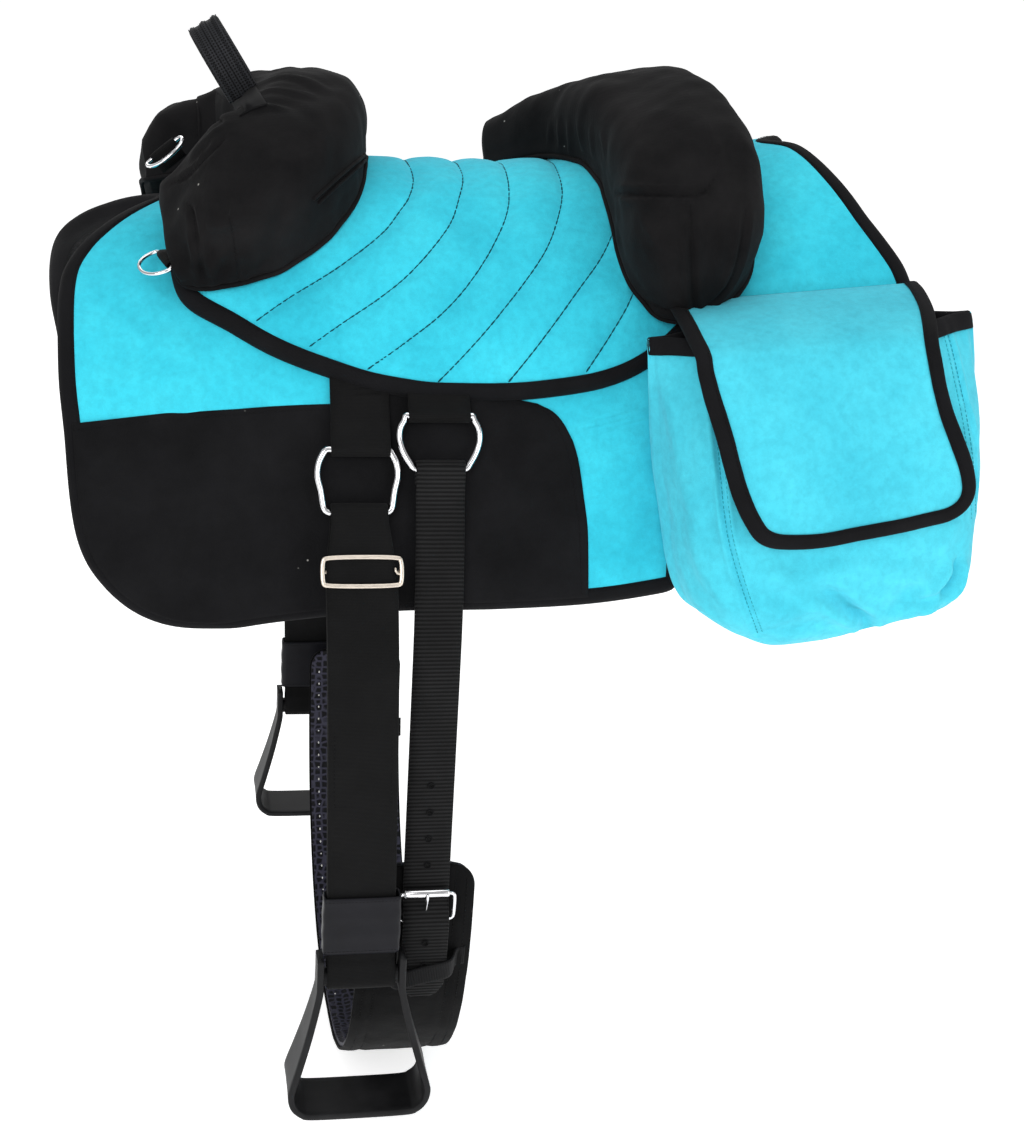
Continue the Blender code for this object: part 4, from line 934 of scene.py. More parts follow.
def seat_height(X, U):
    """Top of the quilted seat over the pad's underside."""
    P = np.stack([X, U], -1)
    e, _ = near_line(P, SEAT_OUT)
    d, k = near_line(P, QALL)
    base = H4 + 6.0 + 10.0 * (1 - np.exp(-np.clip(e - 3.0, 0, None) / 14.0))
    groove = 3.9 * np.exp(-d / 5.5) + 1.5 * np.exp(-d / 20.0)
    pucker = 0.30 * np.sin(k * 1.5 / 11.0 * 2 * math.pi + 3 * waves(P, 31, 90.0)) * np.exp(-d / 9.0) * (1 - np.exp(-d / 2.0))
    lump = waves(P, 32, 85.0) * 0.7 + waves(P, 33, 34.0) * 0.28
    return (base + 1.2 - groove * (1 - np.exp(-np.clip(e - 4.0, 0, None) / 4.0))
            + (lump + pucker) * (1 - np.exp(-np.clip(e - 3.0, 0, None) / 18.0)))


rows = np.linspace(0, SEAT_S, 120)
rows = np.r_[-rows[::-1], rows[1:]]
s = np.abs(rows)
xa, xb = pchip(s, SEAT_FRONT), pchip(s, SEAT_REAR)
t = np.linspace(0, 1, 230)
SX = xa[None, :] + (xb - xa)[None, :] * t[:, None]
SU = np.broadcast_to(rows[None, :], SX.shape)
SX = SX + skew(SU)
SH = seat_height(SX, SU)
uv_seat = np.stack([SX, SU], -1)
seat = shell("quilted_seat_cloth", drape(SX, SU, SH), drape(SX, SU, SH - 2.4), M_SUEDE, uv=uv_seat, slot="suede")
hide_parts("seat_cover")
fo = shell("seat_foam_layer", drape(SX[::5, ::5], SU[::5, ::5], SH[::5, ::5] - 4.6), drape(SX[::5, ::5], SU[::5, ::5], H4 + 0.9),
           M_FOAM, uv=uv_seat[::5, ::5], slot="foam")
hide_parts("seat_foam")
SEDGE = [(-5.2, H4 + 6.4), (-5.0, H4 + 9.0), (-4.2, H4 + 9.8), (-0.5, H4 + 10.1), (3.2, H4 + 9.4), (6.6, H4 + 7.4), (8.9, H4 + 4.0),
         (9.4, H4 + 0.6), (6.0, H4 - 0.6), (1.6, H4 - 0.2), (4.6, H4 + 3.0), (2.4, H4 + 5.0), (-2.0, H4 + 5.6)]
sb = band("seat_binding_tape", SEAT_OUT, SEDGE, M_BINDING, slot="webbing", wobble=0.3, seed=4)
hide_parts("seat_binding")
SN = rounded_loop_normals(SEAT_OUT)
row = SEAT_OUT - SN * 2.6
stitches("seat_edge_stitching", drape(row[:, 0], row[:, 1], H4 + 10.05), drape_normal(row[:, 0], row[:, 1]),
         M_THREAD_BLACK, 2.6, 1.4, 0.32, slot="webbing")
V_all = []
for k, q in enumerate(QL):
    e, _ = near_line(q, SEAT_OUT)
    ends = np.nonzero(e < 5.0)[0]
    mid_ = len(q) // 2
    lo_ = max([i for i in ends if i < mid_], default=-1) + 1
    hi_ = min([i for i in ends if i >= mid_], default=len(q))
    q = q[lo_:hi_]
    h = seat_height(q[:, 0], q[:, 1])
    stitches("quilt_stitching_%d" % k, drape(q[:, 0], q[:, 1], h + 0.55), drape_normal(q[:, 0], q[:, 1]),
             M_THREAD, 7.2, 0.0, 0.80, slot="suede")

# ------------------------------------------------------------------ picking points by the photograph's view
EYE = np.array(CAM_AT + back * CAM_DIST) * 1000.0


def view_dir(px, py):
    d = (np.array(right) * (px - 512.0) - np.array(up) * (py - 564.5)) / 1900.0 - np.array(back)
    return d / np.linalg.norm(d)


def tree(V, F):
    return BVHTree.FromPolygons([Vector(v) for v in np.asarray(V).reshape(-1, 3)], [tuple(f) for f in F])


def pick(bvh, pixels, step=2.0):
    """Points and normals of a surface under a line of the photograph's view."""
    Q = np.array(pixels, float)
    if len(Q) > 2:
        Q = catmull(Q, 8)
    Q = resample(Q, step)
    P, N = [], []
    for q in Q:
        hit, nrm, _, _ = bvh.ray_cast(Vector(EYE), Vector(view_dir(*q)))
        if hit is not None:
            n = np.array(nrm)
            P.append(np.array(hit))
            N.append(n if n @ view_dir(*q) < 0 else -n)
    return np.array(P), np.array(N)


def snap(bvh, P, centre=None):
    out, N = [], []
    for p in P:
        hit, nrm, _, _ = bvh.find_nearest(Vector(p))
        out.append(np.array(hit))
        N.append(np.array(nrm))
    out, N = np.array(out), np.array(N)
    return out, N


def grid_normals(V, cyc_j=True):
    du = np.gradient(V, axis=0)
    dv = (np.roll(V, -1, 1) - np.roll(V, 1, 1)) / 2 if cyc_j else np.gradient(V, axis=1)
    N = np.cross(du, dv)
    N /= np.linalg.norm(N, axis=-1, keepdims=True) + 1e-9
    if cyc_j:
        C = V - V.mean(1, keepdims=True)
        if (N * C).sum() < 0:
            N = -N
    return N


def chaikin(P, n, closed):
    P = np.asarray(P, float)
    for _ in range(n):
        Q = np.roll(P, -1, 0) if closed else P[1:]
        A = P if closed else P[:-1]
        new = np.stack([A * 0.75 + Q * 0.25, A * 0.25 + Q * 0.75], 1).reshape(-1, P.shape[1])
        P = new if closed else np.vstack([P[:1], new, P[-1:]])
    return P


# ------------------------------------------------------------------ stuffed rolls
SECTION = [(-0.50, 0.0), (-0.53, 0.35), (-0.50, 0.70), (-0.38, 0.92), (-0.14, 1.0), (0.14, 1.0), (0.38, 0.92),
           (0.50, 0.70), (0.53, 0.35), (0.50, 0.0), (0.25, 0.0), (0.0, 0.0), (-0.25, 0.0)]
POMMEL_HALF = [(-310, -101, 90, 12), (-301, -102, 91, 22), (-290, -102, 92, 33), (-275, -102, 95, 50), (-252, -101, 98, 74),
               (-240, -100, 99, 83), (-224, -98, 100, 89), (-194, -84, 101, 89), (-176, -58, 105, 85),
               (-168, -28, 110, 82)]
FAR_HEIGHT = (34, 44, 60, 74, 79, 80, 83, 85, 84, 82)
POMMEL = (POMMEL_HALF + [(-166, 0, 112, 81)]
          + [(x - 18 * abs(u) / 100.0, -u, w, hf) for (x, u, w, h), hf in zip(POMMEL_HALF[::-1], FAR_HEIGHT[::-1])])
CANTLE = [(180, -212, 84, 62), (181, -192, 96, 76), (182, -160, 116, 84), (182, -120, 126, 83), (179, -80, 126, 78),
          (172, -40, 124, 73), (158, 0, 120, 71), (138, 36, 116, 70), (112, 66, 108, 67), (80, 94, 98, 63),
          (47, 116, 90, 59)]
HR = 38.1
NSUB = 8
SEC = catmull(SECTION[:10], NSUB)
SEC = np.vstack([SEC, np.stack([np.linspace(0.47, -0.47, 18), np.full(18, 0.0)], -1)])
I_L, I_R = 0, 9 * NSUB


def roll_mesh(path, end_a, end_b, lean=0.62, step=3.0, h0=HR, cut_a=0.0, cut_b=0.0):
    """Grid of points round a roll; each end closes over the distance and with
    the squareness (r, n, b0) it is given."""
    C = catmull(path, 12)
    d = np.r_[0, np.cumsum(np.linalg.norm(np.diff(C[:, :2], axis=0), axis=1))]
    L = d[-1]
    f = np.array([0.02, 0.16, 0.32, 0.48, 0.62, 0.74, 0.83, 0.90, 0.95, 0.985])
    sa = end_a[0] * (1 - (1 - f ** end_a[1]) ** (1 / end_a[1]))
    sb = L - end_b[0] * (1 - (1 - f ** end_b[1]) ** (1 / end_b[1]))
    mid = np.arange(end_a[0] + 1, L - end_b[0] - 1, step)
    s = np.r_[sa, mid, sb[::-1]]
    fac = np.r_[f, np.ones(len(mid)), f[::-1]]
    b0 = np.r_[np.full(len(f), end_a[2]), np.zeros(len(mid)), np.full(len(f), end_b[2])]
    X, U, W, H = [np.interp(s, d, C[:, k]) for k in range(4)]
    t = np.stack([np.interp(s, d, np.gradient(C[:, k], d)) for k in (0, 1)], -1)
    t /= np.linalg.norm(t, axis=1, keepdims=True)
    side = np.stack([t[:, 1], -t[:, 0]], -1)
    A = SEC[None, :, 0] * fac[:, None]
    B = b0[:, None] + (SEC[None, :, 1] - b0[:, None]) * fac[:, None]
    px = X[:, None] + side[:, :1] * A * W[:, None]
    pu = U[:, None] + side[:, 1:] * A * W[:, None]
    # slanting end panels: the outer and lower parts of an end lie further back
    for cut, dist in ((cut_a, s), (cut_b, L - s)):
        px = px + cut * (0.8 * np.clip(np.abs(pu) / 90.0 - 0.62, 0, 1.1) + 0.35 * (1 - np.clip(B, 0, 1))) * np.exp(-dist / 34.0)[:, None]
    base = drape(px, pu, h0)
    un = U[:, None] * 0.9 + pu * 0.1
    a = PAD_MAX_ANGLE * (1 - np.exp(-np.abs(un) * lean / PAD_CURVE))
    upv = np.stack([np.full_like(a, -0.10), np.sign(un) * np.sin(a), np.cos(a)], -1)
    upv /= np.linalg.norm(upv, axis=-1, keepdims=True)
    V = base + upv * (B * H[:, None])[..., None]
    return V, s, fac


def roll_piece(name, V, mat, nodes, extra=None):
    ni, nj = V.shape[:2]
    F = grid_faces(ni, nj, cyc_j=True)
    P = V.reshape(-1, 3)
    k = len(P)
    P = np.vstack([P, V[0].mean(0), V[-1].mean(0)])
    for j in range(nj):
        F.append((k, (j + 1) % nj, j))
        F.append((k + 1, (ni - 1) * nj + j, (ni - 1) * nj + (j + 1) % nj))
    o = make(name, P, F, mat, slot="canvas")
    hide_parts(*nodes)
    return o


def groove(V, lines, depth, width, lip=0.5):
    """Height change round drawn lines: a valley with a soft lip on each side."""
    out = np.zeros(V.shape[:-1])
    for L in lines:
        if len(L) < 2:
            continue
        d, k = near_line(V, L)
        env = np.minimum(1, np.minimum(k, len(L) - 1 - k) / (0.18 * len(L)) + 0.25)
        out += env * (-depth * np.exp(-(d / width) ** 2)
                      + lip * depth * np.exp(-((d - 1.9 * width) / width) ** 2))
    return out


def fold(V, lines, height, width):
    """Ridges that fade out at both ends of each line."""
    out = np.zeros(V.shape[:-1])
    for L in lines:
        if len(L) < 2:
            continue
        d, k = near_line(V, L)
        env = np.sin(np.clip(k / (len(L) - 1.0), 0, 1) * math.pi) ** 0.7
        out += env * height * (np.exp(-(d / width) ** 2) - 0.45 * np.exp(-((d - 1.8 * width) / width) ** 2))
    return out


def base_piping(name, V, radius, mat, lift=0.0):
    """Turned-under edge where a roll is sewn to the seat."""
    loop = np.vstack([V[:, I_L], V[::-1, I_R]])
    loop = resample(loop, 4.0, closed=True)
    c = loop.mean(0)
    for _ in range(4):
        loop = (np.roll(loop, 1, 0) + 2 * loop + np.roll(loop, -1, 0)) / 4
    T = np.roll(loop, -1, 0) - np.roll(loop, 1, 0)
    T /= np.linalg.norm(T, axis=1, keepdims=True)
    out = np.cross(T, np.array([0, 0, 1.0]))
    if ((loop - c) * out).sum() < 0:
        out = -out
    loop = loop + out * 1.0 + np.array([0, 0, lift])
    return tube(name, loop, radius, mat, closed=True, sides=10, slot="canvas")


# pommel
V, sd, fc = roll_mesh(POMMEL, (11, 3.6, 0.40), (18, 2.8, 0.45), cut_a=30.0, cut_b=22.0)
N = grid_normals(V)
bv = tree(V, grid_faces(V.shape[0], V.shape[1], cyc_j=True))
top_folds = [pick(bv, q)[0] for q in ([(262, 80), (285, 78), (312, 82), (334, 92)], [(258, 92), (285, 90), (318, 94)],
                                      [(232, 122), (205, 142), (188, 158)], [(246, 112), (268, 106), (292, 108)])]
low_folds = [pick(bv, q)[0] for q in ([(212, 282), (216, 262), (232, 248)], [(226, 284), (236, 262), (252, 246)],
                                      [(246, 276), (252, 262), (262, 252)], [(193, 238), (197, 250), (203, 268)],
                                      [(205, 226), (222, 224), (240, 214)])]
seam_px = [[(170, 184), (186, 176), (205, 160), (226, 138)], [(186, 202), (193, 212), (196, 240), (200, 262), (206, 284)]]
seams = [pick(bv, q) for q in seam_px]
zip_px = [[(313, 199), (330, 184), (347, 169), (364, 155)], [(318, 203), (334, 188), (351, 173), (366, 159)]]
disp = (waves(V, 41, 95.0) * 1.8 + waves(V, 42, 40.0, stretch=(1, 1, 1.6)) * 1.0
        + waves(V, 43, 17.0, stretch=(0.8, 1.4, 1.4)) * 0.16)
disp *= np.clip(fc, 0, 1)[:, None]
disp += fold(V, top_folds, 2.9, 4.8) + fold(V, low_folds, 4.6, 6.0)
mir = [np.stack([L[:, 0] - 18 * np.abs(L[:, 1]) / 100.0, -L[:, 1], L[:, 2]], -1) for L in top_folds + low_folds if len(L)]
mir = [snap(bv, L)[0] for L in mir]
disp += fold(V, mir, 1.6, 5.0)
disp += groove(V, [s_[0] for s_ in seams], 3.3, 3.2, 0.9)
flare = np.zeros(V.shape[:2])
flare[:, :6] += np.linspace(3.2, 0, 6)[None]
flare[:, I_R - 5:I_R + 1] += np.linspace(0, 3.2, 6)[None]
V = V + N * (disp + flare * fc[:, None])[..., None]
pommel = roll_piece("pommel_roll", V, M_CANVAS, ("pommel_cover", "pommel_filling"))
bv = tree(V, grid_faces(V.shape[0], V.shape[1], cyc_j=True))
for k, q in enumerate(zip_px):
    P, Nn = pick(bv, q, 1.0)
    tube("pommel_zip_welt_%d" % k, P + Nn * 0.9, 1.7, M_CANVAS, sides=8, slot="canvas")
    P2 = snap(bv, np.stack([P[:, 0] - 18 * np.abs(P[:, 1]) / 100.0, -P[:, 1], P[:, 2]], -1))
    tube("pommel_zip_welt_far_%d" % k, P2[0] + P2[1] * 0.5, 1.45, M_CANVAS, sides=8, slot="canvas")
P, Nn = pick(bv, [(315.5, 201), (332, 186), (349, 171), (365, 157)], 1.0)
stitches("pommel_zip_teeth", P, Nn, M_THREAD_BLACK, 1.2, 0.9, 0.9, slot="canvas")
for k, q in enumerate(seam_px):
    P, Nn = pick(bv, q, 1.0)
    stitches("pommel_seam_%d" % k, P, Nn, M_THREAD_BLACK, 2.8, 1.0, 0.34, slot="canvas")
base_piping("pommel_base_edge", V, 2.4, M_CANVAS, -0.6)
# dark tape patches under the handle's feet: painted shade where the handle shades the roll
shade_patch_px = np.array([[(230, 90), (238, 87), (246, 84), (254, 82)], [(232, 99), (241, 96), (249, 93), (258, 90)],
                 [(236, 108), (245, 105), (253, 101), (263, 98)], [(240, 117), (248, 113), (257, 109), (267, 106)]], float)
TP, TN = [], []
for i in range(4):
    for q in shade_patch_px[i]:
        hit, nrm, _, _ = bv.ray_cast(Vector(EYE), Vector(view_dir(*q)))
        TP.append(np.array(hit) if hit is not None else np.array(TP[-1]))
        n = np.array(nrm) if hit is not None else np.array(TN[-1])
        TN.append(n if n @ view_dir(*q) < 0 else -n)
TP, TN = np.array(TP).reshape(4, 4, 3), np.array(TN).reshape(4, 4, 3)


def refine(G, k):
    G = np.array([catmull(r, k) for r in G])
    return np.stack([catmull(G[:, j], k) for j in range(G.shape[1])], 1)


TPf, TNf = refine(TP, 5), refine(TN, 5)
TNf /= np.linalg.norm(TNf, axis=-1, keepdims=True)
# patch darker than the roll's canvas: painted shade under the handle's near foot
shell("handle_foot_shade_patch_near", TPf + TNf * 2.0, TPf - TNf * 0.4, M_BINDING, slot="webbing")
q = TPf.reshape(-1, 3)
far_q = snap(bv, np.stack([q[:, 0] - 18 * np.abs(q[:, 1]) / 100.0, -q[:, 1], q[:, 2]], -1))
fq, fn = far_q[0].reshape(TPf.shape), far_q[1].reshape(TPf.shape)
# the same painted shade under the handle's far foot
shell("handle_foot_shade_patch_far", fq + fn * 2.0, fq - fn * 0.4, M_BINDING, slot="webbing")

# cantle
V, sd, fc = roll_mesh(CANTLE, (40, 2.2, 0.05), (12, 3.6, 0.45))
tip = np.clip(1 - sd / 95.0, 0, 1) ** 1.5
N = grid_normals(V)
V = V - N * (0 * tip)[:, None, None]
bv = tree(V, grid_faces(V.shape[0], V.shape[1], cyc_j=True))
vert = [pick(bv, q)[0] for q in ([(560, 116), (562, 150)], [(570, 118), (572, 154)], [(580, 118), (583, 152)],
                                 [(590, 125), (592, 158)], [(549, 120), (550, 148)], [(600, 130), (603, 160)],
                                 [(706, 120), (718, 150), (724, 180)], [(675, 245), (660, 262), (648, 268)],
                                 [(640, 215), (655, 238), (668, 250)], [(720, 200), (722, 240), (716, 275)])]
seam_px = [[(615, 193), (640, 194), (670, 195), (697, 195), (707, 188), (717, 174)], [(691, 205), (691, 240), (692, 270), (694, 312)],
           [(606, 205), (612, 240), (622, 270), (640, 297), (675, 312), (705, 308), (728, 286), (739, 255), (747, 205)]]
seams = [pick(bv, q) for q in seam_px]
disp = (waves(V, 51, 95.0) * 1.7 + waves(V, 52, 36.0, stretch=(1, 1, 1.5)) * 0.9 + waves(V, 53, 15.0) * 0.15)
disp *= fc[:, None]
disp += fold(V, vert, 1.8, 3.9)
disp += groove(V, [seams[0][0], seams[1][0]], 3.4, 3.2, 0.9) + groove(V, [seams[2][0]], 3.2, 3.4, 0.7)
flare = np.zeros(V.shape[:2])
flare[:, :5] += np.linspace(2.6, 0, 5)[None]
flare[:, I_R - 4:I_R + 1] += np.linspace(0, 2.6, 5)[None]
V = V + N * (disp + flare * fc[:, None])[..., None]
cantle = roll_piece("cantle_roll", V, M_CANVAS, ("cantle_cover", "cantle_filling"))
bv = tree(V, grid_faces(V.shape[0], V.shape[1], cyc_j=True))
for k, q in enumerate(seam_px):
    P, Nn = pick(bv, q, 1.0)
    stitches("cantle_seam_%d" % k, P, Nn, M_THREAD_BLACK, 2.8, 1.0, 0.34, slot="canvas")
base_piping("cantle_base_edge", V, 2.4, M_CANVAS, -0.6)

# ------------------------------------------------------------------ handle
HANDLE_BASE = np.array([-229.0, 0.0, 94.0])
tilt = np.array(Matrix.Rotation(math.radians(-32), 3, 'Y'))
leg = catmull([(0, -34, -3), (0, -35.5, 12), (0, -35, 28), (0, -28, 48), (0, -12, 62), (0, 0, 65), (0, 12, 62), (0, 28, 48),
               (0, 35, 28), (0, 35.5, 12), (0, 34, -3)], 8)
P = HANDLE_BASE + leg @ tilt.T
side = tilt @ np.array([1.0, 0, 0])
T = np.gradient(P, axis=0)
Nn = np.cross(T, side)
Nn /= np.linalg.norm(Nn, axis=1, keepdims=True)
if (Nn * (P - P.mean(0))).sum() < 0:
    Nn = -Nn
a = np.linspace(-15.4, 15.4, 45)
ridge = sum(2.3 * np.exp(-((a - c) / 2.0) ** 2) for c in (-11.8, 0.0, 11.8))
edge_t = 3.0 * np.clip((1 - np.abs(a / 15.4) ** 8), 0, 1) ** 0.5
top = np.stack([a, edge_t * 0.8 + ridge * 0.85 * (edge_t / 3.0)], -1)
bot = np.stack([a[::-1], -(edge_t * 0.8 + ridge * 0.5 * (edge_t / 3.0))[::-1]], -1)
hs = np.vstack([top, bot[1:-1]])
handle = sweep("handle_strap", P, Nn, hs, M_MESH, side=side, body="handle", slot="webbing")
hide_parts("handle")
for c in (-11.8, 0.0, 11.8):
    for dc in (-2.6, 2.6):
        if abs(c + dc) < 14.9:
            line = P + side * (c + dc) + Nn * 3.4
            stitches("handle_stitch_%d" % int(round((c + dc) * 10)), line, Nn, M_THREAD_BLACK, 2.0, 0.9, 0.35, body="handle", slot="webbing")

# ------------------------------------------------------------------ straps, rings, tabs
STRAP_X, STRAP_LEAN, STIRRUP_X = -132.0, 0.020, -123.0
GIRTH_X, BILLET_X, STRAP_Y, BOLT_Z = -66.0, -59.0, -308.0, -685.0
WIRE, LOOP_PLAY, WEB_T = 6.4, 2.6, 2.6
RS_TOP = drape(STRAP_X, -303, 27.6)[1:]
RS_LOW = drape(STRAP_X, -357, 29.6)[1:]
RG_TOP = drape(BILLET_X, -276, 27.6)[1:]
RG_LOW = drape(BILLET_X, -322, 29.6)[1:]


def arc2(cy, cz, r, a0, a1, n):
    w = np.radians(np.linspace(a0, a1, n + 1))
    return np.stack([cy + r * np.cos(w), cz + r * np.sin(w)], -1)


def strap(name, yz, xc, half, t, mat, closed=False, step=2.0, rib=0.0, pitch=3.9, smooth=6, cols=9, bulge=0.0,
          rib_to=-1e9, **kw):
    """Flat webbing whose width runs along X and whose length follows (y, z)."""
    Q = np.asarray(yz, float)
    if smooth:
        Q = catmull(Q, smooth, closed)
    Q = resample(Q, step, closed=closed)
    T = (np.roll(Q, -1, 0) - np.roll(Q, 1, 0)) if closed else np.gradient(Q, axis=0)
    T /= np.linalg.norm(T, axis=1, keepdims=True) + 1e-9
    Nq = np.stack([T[:, 1], -T[:, 0]], -1)
    L = np.r_[0, np.cumsum(np.linalg.norm(np.diff(Q, axis=0), axis=1))]
    xc_ = xc(Q[:, 1]) if callable(xc) else np.full(len(Q), float(xc))
    hf = half(Q[:, 1], L) if callable(half) else np.full(len(Q), float(half))
    inner = np.linspace(-1, 1, cols)
    rb = rib * (0.5 + 0.5 * np.cos(2 * math.pi * L / pitch)) * np.clip((Q[:, 1] - rib_to) / 12.0 + 0.12, 0.12, 1)
    A, O = [], []
    cr = bulge * (1 - inner ** 2)
    A.append(-hf)
    O.append(np.zeros(len(Q)))
    for c, b_ in zip(inner, cr):
        A.append(c * (hf - 0.7))
        O.append(t / 2 + rb * (0.35 if abs(c) > 0.99 else 1) + b_)
    A.append(hf)
    O.append(np.zeros(len(Q)))
    for c, b_ in zip(inner[::-1], cr[::-1]):
        A.append(c * (hf - 0.7))
        O.append(-t / 2 - rb * (0.35 if abs(c) > 0.99 else 1) + b_)
    A, O = np.stack(A, 1), np.stack(O, 1)
    V = np.stack([xc_[:, None] + A, Q[:, :1] + Nq[:, :1] * O, Q[:, 1:] + Nq[:, 1:] * O], -1)
    k = A.shape[1]
    F = grid_faces(len(Q), k, cyc_i=closed, cyc_j=True)
    if not closed:
        F.append(tuple(range(k))[::-1])
        F.append(tuple(range((len(Q) - 1) * k, len(Q) * k)))
    UV = np.stack(np.broadcast_arrays(A, L[:, None]), -1).reshape(-1, 2)
    return make(name, V, F, mat, uv=UV, **kw)


def d_ring(low, top, w_top, w_mid, w_low, x):
    low, top = np.array([x, *low]), np.array([x, *top])
    upv = top - low
    ht = np.linalg.norm(upv)
    upv = upv / ht
    half = [(w_low / 2 - 6, 0.0), (w_low / 2, 0.6), (w_low / 2 + 3.6, 5.0), (w_mid / 2 - 2.6, ht * 0.34), (w_mid / 2 + 0.4, ht * 0.58),
            (w_mid / 2 - 0.8, ht * 0.78), (w_mid / 2 - 4.6, ht * 0.93), (w_top / 2 - 2.5, ht), (w_top / 2 - 10, ht)]
    loop = half + [(-p, q) for p, q in half[::-1]]
    P = np.array([low + np.array([1.0, 0, 0]) * p + upv * q for p, q in loop])
    return resample(catmull(P, 6, True), 2.2, closed=True)


STRAP_MID = [(RS_LOW[0], RS_LOW[1], 0), (RS_LOW[0] - 13, RS_LOW[1] - 18, 5.4), (-279, -290, 3.4),
             (-291, -322, 3.4), (-300, -358, 3.4), (-305.5, -400, 3.4), (-307.7, -450, 3.4), (-308, -520, 3.4),
             (-308, -595, 3.4), (-308, -656, 3.6), (-308, -671, 7.6), (STRAP_Y, BOLT_Z, 0)]


def strap_x(z):
    return STRAP_X + STRAP_LEAN * (RS_LOW[1] - z)


def strap_half(z, L=None):
    return np.interp(-z, [-RS_LOW[1] + 6, -RS_LOW[1] + 50], [25.5, 32.0])


front_l, back_l, mids = [], [], []
for k in range(1, len(STRAP_MID) - 1):
    y, z, w = STRAP_MID[k]
    a_, b_ = STRAP_MID[k - 1], STRAP_MID[k + 1]
    t_ = np.array([b_[0] - a_[0], b_[1] - a_[1]], float)
    t_ /= np.linalg.norm(t_)
    n_ = np.array([t_[1], -t_[0]])
    if n_[0] > 0:
        n_ = -n_
    front_l.append((y + n_[0] * w, z + n_[1] * w))
    back_l.append((y - n_[0] * w, z - n_[1] * w))
    mids.append((y, z, t_, n_))
lead = math.degrees(math.atan2(-18, -13))
loop_s = np.vstack([arc2(RS_LOW[0], RS_LOW[1], WIRE / 2 + LOOP_PLAY + WEB_T / 2, lead + 80, lead + 280, 9),
                    front_l, arc2(STRAP_Y, BOLT_Z, 9.0 + 0.6 + WEB_T / 2, 180, 360, 8), back_l[::-1]])

GIRTH_TOP_Z, GIRTH_DROP, GIRTH_HALF, GIRTH_POWER, GIRTH_W = -600.0, 312.0, 266.0, 2.3, 110.0
BILLET_PATH = [(RG_LOW[0] - 9.0, RG_LOW[1] - 26), (-259.5, -266), (-266.0, -298), (-271.5, -335), (-273.4, -370),
               (-273.6, -440), (-273.6, -520), (-273.4, -600), (-273.4, -616), (-275.4, -627), (-281.4, -638),
               (-284.6, -647), (-284.0, -660), (-280.6, -690), (-275.0, -715), (-268.0, -738)]
ROLL_Y, ROLL_Z, BAR_Y, BAR_Z = -280.4, -616.0, -277.4, -646.0

